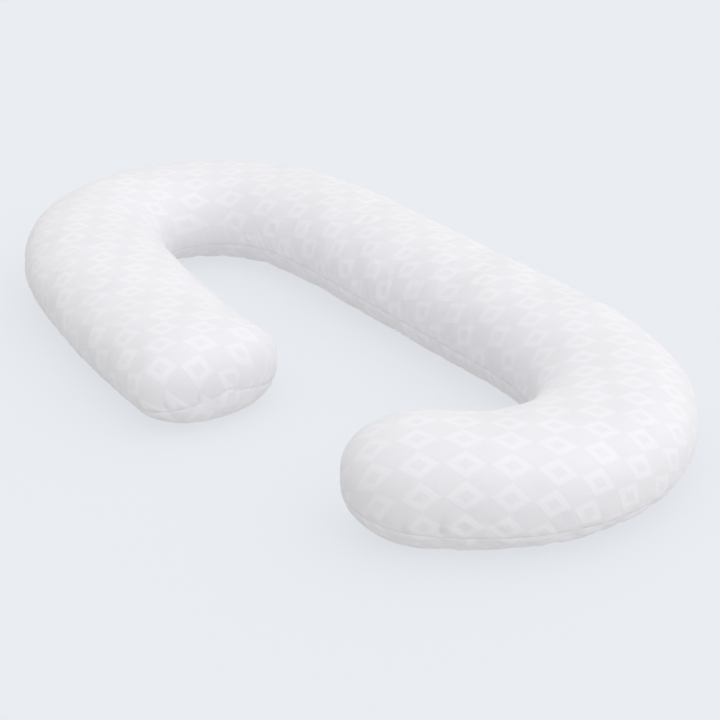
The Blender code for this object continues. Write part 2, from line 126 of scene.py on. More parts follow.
class HeadArmSizes(PropertyGroup):
    """The long arm, which curls round under the head."""

    straight_run: length("Straight run", "Between the back's straight stretch and the bend", 0.090)
    bend_length: length("Bend length", "Along the centre line", 0.787)
    bend_turn: angle("Bend turn", "How far the bend turns", 130.0)
    tip_run: length("Tip run", "From the bend to the tip", 0.487)
    tip_turn: number("Tip turn", "Degrees of turn per metre of the tip run", -21.5)
    tip_length: length("Tip length", "Over which the tip closes", 0.085)
    bend_half_width: length("Bend half width", "Half width in the bend", 0.131)
    tip_half_width: length("Tip half width", "Half width at the tip", 0.132)
    bend_height: length("Bend height", "Height in the bend", 0.157)
    tip_height: length("Tip height", "Height at the tip", 0.147)


class KneeArmSizes(PropertyGroup):
    """The short arm, which goes between the knees."""

    straight_run: length("Straight run", "Between the back's straight stretch and the bend", 0.042)
    bend_length: length("Bend length", "Along the centre line", 0.748)
    bend_turn: angle("Bend turn", "How far the bend turns", 103.5)
    tip_run: length("Tip run", "From the bend to the tip", 0.044)
    tip_turn: number("Tip turn", "Degrees of turn per metre of the tip run", 16.5)
    tip_length: length("Tip length", "Over which the tip closes", 0.142)
    bend_half_width: length("Bend half width", "Half width in the bend", 0.129)
    tip_half_width: length("Tip half width", "Half width at the tip", 0.108)
    bend_height: length("Bend height", "Height in the bend", 0.163)
    tip_height: length("Tip height", "Height at the tip", 0.176)


class SewingSizes(PropertyGroup):
    """The sewn layers, their seams and the gathers along them."""

    cover_thickness: length("Cover thickness", "Jacquard with its fleece backing", 0.0020)
    casing_thickness: length("Casing thickness", "Two-ply cotton", 0.0012)
    layer_gap: length("Layer gap", "Between cover, casing and filling", 0.0012)
    zip_recess: length("Zip recess", "How far the casing lies back behind the zip", 0.0012)
    mouth: length("Zip mouth", "From the zip's middle to the cover's folded edge", 0.0053)
    mouth_reach: length("Mouth reach", "How far the mouth is open each side of the back's middle", 0.2336)
    mouth_ease: length("Mouth ease", "How far up the cover gives way to the mouth", 0.030)
    seam_depth: length("Seam depth", "How deep the seam is drawn in", 0.0010)
    seam_width: length("Seam width", "How wide the drawn-in groove is", 0.0035)
    gather_height: length("Gather height", "Of the small gathers along a straight seam", 0.00045)
    gather_reach: length("Gather reach", "How far the gathers run up from the seam", 0.016)
    tip_gather: number("Tip gather", "How many times stronger the gathers are at the tips", 1.8)
    tuck_depth: length("Tuck depth", "How deep the tucks near the tips are folded in", 0.0050)
    tuck_width: length("Tuck width", "From a tuck's middle to where it has faded", 0.0040)
    tuck_reach: length("Tuck reach", "How far the tucks run up from the seam", 0.020)
    lump_height: length("Lump height", "Of the filling's soft lumps", 0.0006)


class SwellSettings(PropertyGroup):
    """The cloth simulation that inflates the cover."""

    room: length("Room", "How much smaller the cover starts", 0.0045)
    slack: number("Slack", "How much wider and longer the cloth is than the start, as a share", 0.02)
    pressure: number("Pressure", "Pressure of the filling", 4.0)
    frames: IntProperty(name="Frames", description="Frames that are simulated", default=20, min=1)
    reach: length("Reach", "Length along the tube over which the stuffing evens the swelling out", 0.070)
    limit: length("Limit", "The most that a pucker stands out or in", 0.0014)
    calm_tip: length("Calm tip", "Length at each tip over which the puckers fade out", 0.045)


class JacquardSizes(PropertyGroup):
    """The cover's woven pattern: rings of lozenge shape in straight columns and rows."""

    turn: angle("Turn", "From the back's line to the pattern's rows", 54.6)
    column: length("Column", "From one lozenge to the next along a row", 0.0666)
    row: length("Row", "From one row to the next", 0.0475)
    half_width: length("Half width", "Of a lozenge", 0.0305)
    half_height: length("Half height", "Of a lozenge", 0.0222)
    stroke: length("Stroke", "Width of a lozenge's ring", 0.0102)
    shift_column: number("Shift along a row", "As a share of a column", 0.5)
    shift_row: number("Shift across rows", "As a share of a row", 0.0)
    thread: length("Thread", "Spacing of the drawn threads", 0.0016)


class Colours(PropertyGroup):
    """Colours of the fabrics, threads, zip and floor."""

    ground: colour("Ground", "Jacquard's matt ground", "#F1F0F4")
    motif: colour("Motif", "Jacquard's satin lozenges", "#F4F3F7")
    casing: colour("Casing", "Unbleached cotton", "#E9E6DC")
    fibre: colour("Fibre", "Polyester filling", "#F4F4F2")
    thread: colour("Thread", "Sewing thread", "#EDEDF1")
    tape: colour("Tape", "Zip tape", "#E8E8ED")
    coil: colour("Coil", "Nylon coil", "#F0F0F3")
    metal: colour("Metal", "Nickel plating", "#C6C5C3")
    label: colour("Label", "Satin label", "#F4F4F6")
    floor: colour("Floor", "Studio floor", "#E8EBF0")


class StageSizes(PropertyGroup):
    """Camera, floor and light dome."""

    azimuth: angle("Azimuth", "Of the camera, from the front", 54.564)
    elevation: angle("Elevation", "Of the camera, above the floor", 25.481)
    distance: length("Distance", "From the camera to its target", 3.0599)
    target: FloatVectorProperty(
        name="Target",
        description="What the camera looks at",
        default=(0.1654, -0.0263, 0.08),
        subtype="TRANSLATION",
    )
    lens: number("Lens", "Focal length in millimetres", 92.87)
    floor_half: length("Floor half", "Half the floor's side", 12.0)
    floor_glow: number("Floor glow", "Share of the floor's light that comes through it from below", 0.70)
    light_azimuth: angle("Light azimuth", "Where the light dome is brightest, from the front", 130.0)
    light_elevation: angle("Light elevation", "Where the light dome is brightest", 58.0)
    dome_dark: number("Dome dark", "Strength of the light dome on its dark side", 0.61)
    dome_bright: number("Dome bright", "Strength of the light dome on its bright side", 1.20)


class PillowSettings(PropertyGroup):
    """Everything that can be set on the pillow."""

    tube: PointerProperty(type=TubeSizes)
    head_arm: PointerProperty(type=HeadArmSizes)
    knee_arm: PointerProperty(type=KneeArmSizes)
    sewing: PointerProperty(type=SewingSizes)
    swell: PointerProperty(type=SwellSettings)
    jacquard: PointerProperty(type=JacquardSizes)
    colours: PointerProperty(type=Colours)
    stage: PointerProperty(type=StageSizes)


# ---- Shape of the stuffed tube ----
PATH_STEPS = 1200
PATH_SPARE = 0.2  # of centre line past an arm's end, for the pattern to run on
RING_SPACING = 0.009
TIP_RINGS = 14
TOP_ROWS = 40
BOTTOM_ROWS = 32
RING_SPLIT = 3  # fine rings between two rings of the swelling grid
FINE_TOP_ROWS = 64
FINE_BOTTOM_ROWS = 52
ROW_CROWDING = 0.78  # how much the fine rows crowd towards the seams


def ease(share):
    """Smooth step from 0 to 1: 3 t squared less 2 t cubed."""
    t = np.clip(share, 0.0, 1.0)
    return t * t * (3.0 - 2.0 * t)


def run_length(points):
    """Distance travelled along a row of points, from 0 at the first."""
    steps = np.linalg.norm(np.diff(points, axis=0), axis=1)
    return np.concatenate(([0.0], np.cumsum(steps)))


def arm_length(tube, arm):
    """Length of an arm's centre line from the back's middle."""
    return tube.straight_reach + arm.straight_run + arm.bend_length + arm.tip_run


def centre_line(tube, arm, distance):
    """Place (x, y) and heading at distances from the back's middle, as if the arm went to +X.

    The heading is the bow times the distance past the straight stretch, plus the bend's turn eased
    over the bend, plus the tip's turn per metre after it. The place is the sum of its cosine and,
    downwards, its sine.
    """
    along = np.linspace(0.0, arm_length(tube, arm) + PATH_SPARE, PATH_STEPS)
    bend_start = tube.straight_reach + arm.straight_run
    bend_end = bend_start + arm.bend_length
    turn = tube.back_bow * np.maximum(along - tube.straight_reach, 0.0)
    turn += math.degrees(arm.bend_turn) * ease((along - bend_start) / arm.bend_length)
    turn += arm.tip_turn * np.maximum(along - bend_end, 0.0)
    heading = np.radians(turn)
    middle = (heading[1:] + heading[:-1]) / 2
    x = np.concatenate(([0.0], np.cumsum(np.cos(middle) * along[1])))
    y = np.concatenate(([0.0], np.cumsum(-np.sin(middle) * along[1])))
    return [np.interp(distance, along, values) for values in (x, y, heading)]


def taper(tube, arm, distance, back, bend, tip):
    """A size that eases from the back's value to the bend's at mid-bend, and on to the tip's."""
    mid_bend = tube.straight_reach + arm.straight_run + arm.bend_length / 2
    to_bend = ease((distance - tube.straight_reach) / (mid_bend - tube.straight_reach))
    to_tip = ease((distance - mid_bend) / (arm_length(tube, arm) - mid_bend))
    return np.where(distance < mid_bend, back + (bend - back) * to_bend, bend + (tip - bend) * to_tip)


def arm_rings(tube, arm, side, inset):
    """An arm's rings from the back's middle to the tip's end, one column each.

    Rows are place (x, y), outward direction (x, y), half width, height of the widest line, rise and
    drop from there, angle of the seams and signed distance. In the tip, an angle runs from 0 to 90
    degrees: distance grows with its sine to the power 2 / bluntness, width shrinks with its cosine
    and height with the cosine to the height power.
    """
    tip_start = arm_length(tube, arm) - arm.tip_length
    body = np.linspace(0.0, tip_start, round(tip_start / RING_SPACING) + 1)
    closing = np.linspace(0.0, math.pi / 2, TIP_RINGS + 1)[1:]
    tip = tip_start + (arm.tip_length - inset) * np.sin(closing) ** (2 / tube.tip_bluntness)
    distance = np.concatenate((body, tip))
    closeness = np.concatenate((np.ones(len(body)), np.cos(closing)))
    closeness[-1] = 0.0
    tallness = closeness**tube.tip_height_power
    x, y, heading = centre_line(tube, arm, distance)
    half_width = taper(tube, arm, distance, tube.back_half_width, arm.bend_half_width, arm.tip_half_width)
    height = taper(tube, arm, distance, tube.back_height, arm.bend_height, arm.tip_height)
    return np.array(
        [
            side * x,
            y,
            side * np.sin(heading),
            np.cos(heading),
            (half_width - inset) * closeness,
            tube.widest_share * height,
            ((1 - tube.widest_share) * height - inset) * tallness,
            (tube.widest_share * height + tube.sag - inset) * tallness,
            taper(tube, arm, distance, tube.back_seam_angle, tube.arm_seam_angle, tube.arm_seam_angle),
            side * distance,
        ]
    )


def superellipse(angles, roundness):
    """Across and upward from -1 to 1: cosine and sine, each to the power 2 / roundness."""
    cosine, sine = np.cos(angles), np.sin(angles)
    power = 2 / roundness
    return np.sign(cosine) * np.abs(cosine) ** power, np.sign(sine) * np.abs(sine) ** power


def row_angles(tube, seam_angle):
    """Angles round the section of the swelling grid's rows, evenly spaced on each panel.

    They run from the outer seam over the top to the inner seam, and back under the tube.
    """
    dense = np.linspace(-seam_angle, 2 * math.pi - seam_angle, 2001)
    across, upward = superellipse(dense, tube.roundness)
    travelled = run_length(np.stack((tube.back_half_width * across, tube.back_height / 2 * upward), axis=1))
    inner = np.interp(math.pi + seam_angle, dense, travelled)
    top = np.linspace(0.0, inner, TOP_ROWS + 1)
    bottom = np.linspace(inner, travelled[-1], BOTTOM_ROWS + 1)[1:-1]
    return np.interp(np.concatenate((top, bottom)), travelled, dense)


def plain_tube(pillow, inset):
    """The closed tube `inset` inside the cover's face, rings by rows, and each ring's distance.

    A point is its ring's place plus outward times half width times across, at the widest line's
    height plus rise or drop times upward, and no lower than what the pillow rests on.
    """
    tube = pillow.tube
    head = arm_rings(tube, pillow.head_arm, -1, inset)
    knee = arm_rings(tube, pillow.knee_arm, +1, inset)
    x, y, out_x, out_y, half_width, widest, rise, drop, seam_angle, distance = np.concatenate(
        (head[:, ::-1], knee[:, 1:]), axis=1
    )
    low_seam, high_seam = tube.arm_seam_angle, tube.back_seam_angle
    share = ((seam_angle - high_seam) / (low_seam - high_seam))[:, None]
    angles = (1 - share) * row_angles(tube, high_seam) + share * row_angles(tube, low_seam)
    across, upward = superellipse(angles, tube.roundness)
    offset = half_width[:, None] * across
    band = 1 - ease((np.abs(distance) - tube.band_reach) / tube.band_fade)
    offset -= band[:, None] * np.maximum(offset - (tube.band_offset - inset), 0.0)
    z = widest[:, None] + np.where(upward > 0.0, rise[:, None], drop[:, None]) * upward
    points = np.stack(
        (
            tube.middle[0] + x[:, None] + offset * out_x[:, None],
            tube.middle[1] + y[:, None] + offset * out_y[:, None],
            np.maximum(z, 0.0),
        ),
        axis=2,
    )
    return points, distance


# ---- Meshes ----
def grid_object(name, points, uv=None, wrap=False, poles=False):
    """A mesh of quads over a grid of points, rings by rows, facing out where rows turn from +Y to +Z.

    `wrap` joins the last row to the first, and `poles` makes each end ring one point.
    """
    rings, rows = points.shape[:2]
    across = np.arange(rows if wrap else rows - 1)[None, :]
    along = np.arange(rings - 1)[:, None] * rows
    after = (across + 1) % rows
    quads = np.stack((along + across, along + after, along + rows + after, along + rows + across), axis=2)
    shared = np.arange(rings * rows)
    faces = [quads.reshape(-1, 4)]
    if poles:
        shared[:rows] = 0
        shared[-rows:] = shared[-rows]
        faces = [quads[0][:, [0, 2, 3]], quads[1:-1].reshape(-1, 4), quads[-1][:, [0, 1, 2]]]
    kept, merged = np.unique(shared, return_inverse=True)
    mesh = bpy.data.meshes.new(name)
    corners = [row for part in faces for row in merged[part].tolist()]
    mesh.from_pydata(points.reshape(-1, 3)[kept].tolist(), [], corners)
    if uv is not None:
        loops = np.concatenate([part.ravel() for part in faces])
        layer = mesh.uv_layers.new(name="weave")
        layer.uv.foreach_set("vector", uv.reshape(-1, 2)[loops].astype(np.float32).ravel())
    return add_object(name, mesh)


def add_object(name, mesh):
    """A smooth-shaded object at the origin that holds a mesh."""
    mesh.shade_smooth()
    item = bpy.data.objects.new(name, mesh)
    bpy.context.scene.collection.objects.link(item)
    return item


def joined(name, shapes):
    """One mesh of many like closed grids, given as an array of shapes by rings by rows."""
    count, rings, rows = shapes.shape[:3]
    single = grid_object(name, shapes[0], wrap=True, poles=True)
    shared = np.arange(rings * rows)
    shared[:rows] = 0
    shared[-rows:] = shared[-rows]
    kept = np.unique(shared)
    places = shapes.reshape(count, -1, 3)[:, kept]
    polygons = [list(polygon.vertices) for polygon in single.data.polygons]
    triangles = np.array([p for p in polygons if len(p) == 3], int).reshape(-1, 3)
    quads = np.array([p for p in polygons if len(p) == 4], int).reshape(-1, 4)
    steps = np.arange(count)[:, None, None] * len(kept)
    corners = []
    for part in (triangles, quads):
        corners += (part[None] + steps).reshape(-1, part.shape[1]).tolist()
    bpy.data.objects.remove(single)
    whole = bpy.data.meshes.new(name)
    whole.from_pydata(places.reshape(-1, 3).tolist(), [], corners)
    return add_object(name, whole)


def finish_piece(item, material, slot, body, *nodes):
    """Gives a piece its material and its body, and hides the nodes it stands for."""
    item.data.materials.append(material)
    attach(item, body)
    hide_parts(*nodes)


def thicken(item, thickness):
    """Gives an open panel its thickness, inwards."""
    solid = item.modifiers.new("thickness", "SOLIDIFY")
    solid.thickness = thickness
    solid.offset = -1.0
    solid.use_rim = True


# ---- Swelling ----
HELD_ZIP_ROWS = 8  # on each side of the zip


def swell(pillow):
    """The cover's grid with the puckers of an inflated cloth, and each ring's distance.

    The cloth starts a little small, and its seams, zip band and underside are held. A pucker is how
    much further out a point has come than the bell-weighted mean of its neighbours along the tube,
    capped by a hyperbolic tangent and faded out near the tips. It is added to the full-size tube,
    along the start's normal.
    """
    settings = pillow.swell
    start, distance = plain_tube(pillow, settings.room)
    rings, rows = start.shape[:2]
    item = grid_object("swelling_cover", start, wrap=True, poles=True)
    held = np.zeros((rings, rows))
    held[:, [0, TOP_ROWS]] = 1.0
    held[start[:, :, 2] <= 0.0] = 1.0
    tube = pillow.tube
    near_zip = np.abs(distance) <= tube.straight_reach + RING_SPACING
    by_zip = np.concatenate((np.arange(HELD_ZIP_ROWS), np.arange(rows - HELD_ZIP_ROWS, rows)))
    held[np.ix_(near_zip, by_zip)] = 1.0
    weights = np.concatenate((held[:1, 0], held[1:-1].ravel(), held[-1:, 0]))
    group = item.vertex_groups.new(name="held")
    group.add(np.flatnonzero(weights).tolist(), 1.0, "REPLACE")
    cloth = item.modifiers.new("cloth", "CLOTH")
    cloth.settings.use_pressure = True
    cloth.settings.uniform_pressure_force = settings.pressure
    cloth.settings.vertex_group_mass = "held"
    cloth.settings.pin_stiffness = 1.0
    cloth.settings.shrink_min = -settings.slack
    cloth.settings.effector_weights.gravity = 0.0
    cloth.settings.quality = 5
    cloth.settings.mass = 0.3
    cloth.settings.tension_stiffness = 15.0
    cloth.settings.compression_stiffness = 15.0
    cloth.settings.bending_stiffness = 0.5
    cloth.point_cache.frame_start = 1
    cloth.point_cache.frame_end = settings.frames
    scene = bpy.context.scene
    for step in range(1, settings.frames + 1):
        scene.frame_set(step)
    shown = item.evaluated_get(bpy.context.evaluated_depsgraph_get()).data
    places = np.empty(len(shown.vertices) * 3, np.float32)
    shown.vertices.foreach_get("co", places)
    places = places.reshape(-1, 3)
    end = start.copy()
    end[0] = places[0]
    end[1:-1] = places[1:-1].reshape(rings - 2, rows, 3)
    end[-1] = places[-1]
    scene.frame_set(1)
    bpy.data.objects.remove(item)
    normals = outward(start)
    risen = ((end - start) * normals).sum(axis=2)
    apart = (distance[:, None] - distance[None, :]) / settings.reach
    bells = np.exp(-(apart**2) / 2)
    puckers = risen - (bells / bells.sum(axis=1, keepdims=True)) @ risen
    to_tip = np.minimum(distance - distance[0], distance[-1] - distance)
    puckers = settings.limit * np.tanh(puckers / settings.limit)
    puckers *= ease(to_tip / settings.calm_tip)[:, None]
    full, distance = plain_tube(pillow, 0.0)
    return full + normals * puckers[:, :, None], distance


# ---- Fine surface ----
# Tucks in the outer seam, in metres from each tip's end: the first one, plus even steps
HEAD_TUCKS = 0.052 + 0.055 * np.arange(3)
KNEE_TUCKS = 0.118 + 0.027 * np.arange(5)

# Waves of the gathers and lumps: how many, and their longest and shortest, in metres
RANDOM_SEED = 7
GATHER_WAVES, LONGEST_GATHER, SHORTEST_GATHER = 60, 0.060, 0.024
LUMP_WAVES, LONGEST_LUMP, SHORTEST_LUMP = 40, 0.24, 0.07

TIP_GATHER_REACH = 0.22  # along the tube
GATHER_START = 0.004  # up from the seam
LUMP_START = 0.05
RECESS_FADE = 0.02  # past the zip's band
RECESS_REACH = 0.05  # up and down from the zip


def bell(share):
    """Bell curve: e to the power of minus the share squared."""
    return np.exp(-(share**2))


def spline_weights(places, knots, closed):
    """Catmull-Rom weights that read a curve at real-numbered places between its knots.

    Between two knots the four weights are the cubics that pass through both with the slope of
    their neighbours.
    """
    before = np.floor(places).astype(int)
    if not closed:
        before = np.minimum(before, knots - 2)
    t = places - before
    cubics = np.stack(
        (-t + 2 * t**2 - t**3, 2 - 5 * t**2 + 3 * t**3, t + 4 * t**2 - 3 * t**3, t**3 - t**2)
    )
    weights = np.zeros((len(places), knots))
    for step in range(4):
        column = before + step - 1
        column = column % knots if closed else np.clip(column, 0, knots - 1)
        np.add.at(weights, (np.arange(len(places)), column), cubics[step] / 2)
    return weights


def crowded(low, high, count):
    """Places from low to high that crowd together at both ends."""
    share = np.linspace(0.0, 1.0, count + 1)
    share = share - ROW_CROWDING * np.sin(2 * math.pi * share) / (2 * math.pi)
    return low + (high - low) * share


def outward(points):
    """Unit normals of a closed grid: the cross product of its steps round and along."""
    along = np.gradient(points, axis=0)
    around = np.roll(points, -1, axis=1) - np.roll(points, 1, axis=1)
    normals = np.cross(around, along)
    normals[0] = normals[1].mean(axis=0)
    normals[-1] = normals[-2].mean(axis=0)
    return normals / np.maximum(np.linalg.norm(normals, axis=2, keepdims=True), 1e-12)


class Surface:
    """The cover's fine closed surface, with its seams, gathers and lumps, and where each point is."""

    def __init__(self, pillow):
        coarse, distance = swell(pillow)
        rings, rows = coarse.shape[:2]
        ring_places = np.linspace(0.0, rings - 1, (rings - 1) * RING_SPLIT + 1)
        top = crowded(0.0, TOP_ROWS, FINE_TOP_ROWS)
        bottom = crowded(TOP_ROWS, rows, FINE_BOTTOM_ROWS)
        row_places = np.concatenate((top[:-1], bottom[:-1]))
        by_ring = spline_weights(ring_places, rings, False)
        by_row = spline_weights(row_places, rows, True)
        points = np.einsum("ai,ijk,bj->abk", by_ring, coarse, by_row, optimize=True)
        points[0], points[-1] = coarse[0, 0], coarse[-1, 0]
        self.distance = by_ring @ distance
        self.band_reach = pillow.tube.band_reach
        steps = np.linalg.norm(np.roll(points, -1, axis=1) - points, axis=2)
        self.girth = np.concatenate((np.zeros((len(points), 1)), np.cumsum(steps, axis=1)), axis=1)
        self.normals = outward(points)
        self.points = self.with_details(pillow, points)

    def from_seams(self):
        """Distance of each point from the outer and from the inner seam, round the tube."""
        start, whole = self.girth[:, :-1], self.girth[:, -1:]
        inner = self.girth[:, FINE_TOP_ROWS : FINE_TOP_ROWS + 1]
        return np.minimum(start, whole - start), np.abs(start - inner)

    def mouth_opening(self, sewing):
        """How far the zip's mouth is open at each ring, from 0 to 1."""
        past = np.abs(self.distance) - sewing.mouth_reach
        return 1 - ease(past / (2 * sewing.mouth))

    def with_details(self, pillow, points):
        """Points moved along their normals by the seam groove, gathers, tucks and lumps.

        The groove is a bell curve across the seam. The gathers are a sum of waves along the seam's
        whole loop that fades away from it. A tuck is a bell curve along the seam times one across
        it, less a narrower one that keeps the seam itself closed. The lumps are a sum of long waves.
        """
        sewing = pillow.sewing
        outer, inner = self.from_seams()
        shut = 1 - self.mouth_opening(sewing)[:, None]
        groove = shut * bell(outer / sewing.seam_width) + bell(inner / sewing.seam_width)
        rise = -sewing.seam_depth * np.minimum(groove, 1.0)
        outer_run, inner_run = run_length(points[:, 0]), run_length(points[:, FINE_TOP_ROWS])
        loop = outer_run[-1] + inner_run[-1]
        random = np.random.default_rng(RANDOM_SEED)
        fewest, most = round(loop / LONGEST_GATHER), round(loop / SHORTEST_GATHER)
        periods = random.integers(fewest, most, GATHER_WAVES)
        phases = random.uniform(0.0, 2 * math.pi, GATHER_WAVES)
        to_tip = np.minimum(self.distance - self.distance[0], self.distance[-1] - self.distance)
        near_tip = 1 - ease(to_tip / TIP_GATHER_REACH)
        strength = sewing.gather_height * (1 + (sewing.tip_gather - 1) * near_tip)
        for run, away, kept in ((outer_run, outer, shut), (-inner_run, inner, 1.0)):
            swing = np.sin(2 * math.pi * np.outer(run / loop, periods) + phases).sum(axis=1)
            gathers = strength * swing / math.sqrt(GATHER_WAVES / 2)
            fade = np.exp(-away / sewing.gather_reach) * (1 - np.exp(-away / GATHER_START))
            rise += gathers[:, None] * fade * kept
        tucks = np.concatenate((HEAD_TUCKS, outer_run[-1] - KNEE_TUCKS))
        across = (outer_run[:, None] - tucks) / sewing.tuck_width
        fold = bell(across).sum(axis=1)[:, None] * bell(outer / sewing.tuck_reach)
        fold *= 1 - bell(outer / sewing.tuck_width)
        rise[:, : FINE_TOP_ROWS + 1] -= sewing.tuck_depth * fold[:, : FINE_TOP_ROWS + 1]
        directions = random.normal(size=(3, LUMP_WAVES))
        directions /= np.linalg.norm(directions, axis=0)
        turns = directions * (2 * math.pi / random.uniform(SHORTEST_LUMP, LONGEST_LUMP, LUMP_WAVES))
        phases = random.uniform(0.0, 2 * math.pi, LUMP_WAVES)
        lumps = np.sin(points @ turns + phases).sum(axis=2) / math.sqrt(LUMP_WAVES / 2)
        rise += sewing.lump_height * lumps * ease(np.minimum(outer, inner) / LUMP_START)
        moved = points + self.normals * rise[:, :, None]
        moved[:, :, 2] = np.maximum(moved[:, :, 2], 0.0)
        return moved

    def layer(self, inset, recess=0.0):
        """The closed surface moved in by an inset, and a little more behind the zip."""
        behind = 1 - ease((np.abs(self.distance) - self.band_reach) / RECESS_FADE)
        outer = self.from_seams()[0]
        depth = inset + recess * behind[:, None] * (outer < RECESS_REACH)
        points = self.points - self.normals * depth[:, :, None]
        points[:, :, 2] = np.maximum(points[:, :, 2], inset)
        return points

    def weave(self, pillow):
        """Pattern coordinates in metres: each panel laid flat along its own middle line.

        A point goes to its ring's place on the centre line, plus outward times its distance round
        the tube from the panel's middle, and the plan is turned to the pattern's rows.
        """
        tube = pillow.tube
        crown = self.points[:, FINE_TOP_ROWS // 2]
        run = run_length(crown)
        run -= np.interp(0.0, self.distance, run)
        places = np.empty((len(run), 4))
        for arm, side in ((pillow.head_arm, -1), (pillow.knee_arm, +1)):
            on_side = side * run >= 0.0
            x, y, heading = centre_line(tube, arm, np.abs(run[on_side]))
            places[on_side] = np.stack((side * x, y, side * np.sin(heading), np.cos(heading)), axis=1)
        top_middle = self.girth[:, FINE_TOP_ROWS // 2 : FINE_TOP_ROWS // 2 + 1]
        low_row = FINE_TOP_ROWS + FINE_BOTTOM_ROWS // 2
        away = top_middle - self.girth
        from_low_middle = self.girth - self.girth[:, low_row : low_row + 1]
        away[:, FINE_TOP_ROWS + 1 :] = from_low_middle[:, FINE_TOP_ROWS + 1 :]
        inner_low = (self.girth[:, FINE_TOP_ROWS] - self.girth[:, low_row])[:, None]
        plan = places[:, None, :2] + away[:, :, None] * places[:, None, 2:]
        low_start = places[:, None, :2] + inner_low[:, :, None] * places[:, None, 2:]
        turn = pillow.jacquard.turn
        axes = np.array([[math.cos(turn), math.sin(turn)], [math.sin(turn), -math.cos(turn)]])
        return plan @ axes.T, low_start @ axes.T

    def top(self, points):
        """Rows of the top panel, from the outer seam to the inner one."""
        return points[:, : FINE_TOP_ROWS + 1]

    def bottom(self, points):
        """Rows of the bottom panel, from the inner seam to the outer one."""
        return np.concatenate((points[:, FINE_TOP_ROWS:], points[:, :1]), axis=1)


_surface = []


def surface(pillow):
    """The fine surface, worked out once."""
    if not _surface:
        _surface.append(Surface(pillow))
    return _surface[0]


# ---- Nodes of a material ----
def feed(tree, socket, value):
    """Links a socket to a node's first output or to another socket, or sets its value."""
    if isinstance(value, bpy.types.Node):
        value = value.outputs[0]
    if isinstance(value, bpy.types.NodeSocket):
        tree.links.new(value, socket)
    else:
        socket.default_value = value


def node(tree, kind, settings=None, inputs=None):
    """Adds a node, sets its properties and feeds its inputs."""
    item = tree.nodes.new(kind)
    for name, value in (settings or {}).items():
        setattr(item, name, value)
    for name, value in (inputs or {}).items():
        feed(tree, item.inputs[name], value)
    return item


def principled(name, inputs):
    """A material with the Principled shader's inputs set, and its node tree."""
    material = bpy.data.materials.new(name)
    material.use_nodes = True
    tree = material.node_tree
    tree.nodes.clear()
    shader = node(tree, "ShaderNodeBsdfPrincipled", None, inputs)
    node(tree, "ShaderNodeOutputMaterial", None, {"Surface": shader})
    return material, tree, shader


def colour4(value):
    """A colour with an alpha of 1."""
    return (*value, 1.0)


def waves(tree, vector, direction, pitch):
    """Soft bands across one direction, one each pitch in metres."""
    full_turn = 20.0 / (2 * math.pi)  # bands in a metre at a scale of 1
    return node(
        tree,
        "ShaderNodeTexWave",
        {"wave_type": "BANDS", "bands_direction": direction},
        {"Vector": vector, "Scale": 1 / (pitch * full_turn)},
    )


def math_node(tree, operation, first, second=0.0):
    """A Math node on two values."""
    return node(tree, "ShaderNodeMath", {"operation": operation}, {0: first, 1: second})


def step_down(tree, value, edge, softness):
    """1 below an edge and 0 above it, with a soft step between."""
    return node(
        tree,
        "ShaderNodeMapRange",
        {"interpolation_type": "SMOOTHSTEP"},
        {
            "Value": value,
            "From Min": edge - softness,
            "From Max": edge + softness,
            "To Min": 1.0,
            "To Max": 0.0,
        },
    )


def mix_colours(tree, share, first, second):
    """The first colour where the share is 0 and the second where it is 1."""
    inputs = {"Factor": share, 6: colour4(first), 7: colour4(second)}
    return node(tree, "ShaderNodeMix", {"data_type": "RGBA"}, inputs).outputs[2]


def bump(tree, shader, height, distance):
    """Raises the surface by a height from 0 to 1 times a distance in metres."""
    inputs = {"Height": height, "Distance": distance, "Strength": 1.0}
    normal = node(tree, "ShaderNodeBump", None, inputs)
    feed(tree, shader.inputs["Normal"], normal)


def patterned(tree, shader, pattern, colour_value, darkest, relief):
    """Base colour that falls to a share of itself where the pattern is 0, and relief where it is 1. The
    darkening lies in the relief's hollows and is painted shade.
    """
    # Painted shade: the colour is darkened where the relief is low.
    tone = mix_colours(tree, pattern, [c * darkest for c in colour_value], colour_value)
    feed(tree, shader.inputs["Base Color"], tone)
    bump(tree, shader, pattern, relief)


LOZENGE_EDGE = 0.10  # softness of a lozenge's edge, as a share of its half size
LOZENGE_RISE = 0.6  # share of the jacquard's relief; its threads have the rest
JACQUARD_RELIEF = 0.0006


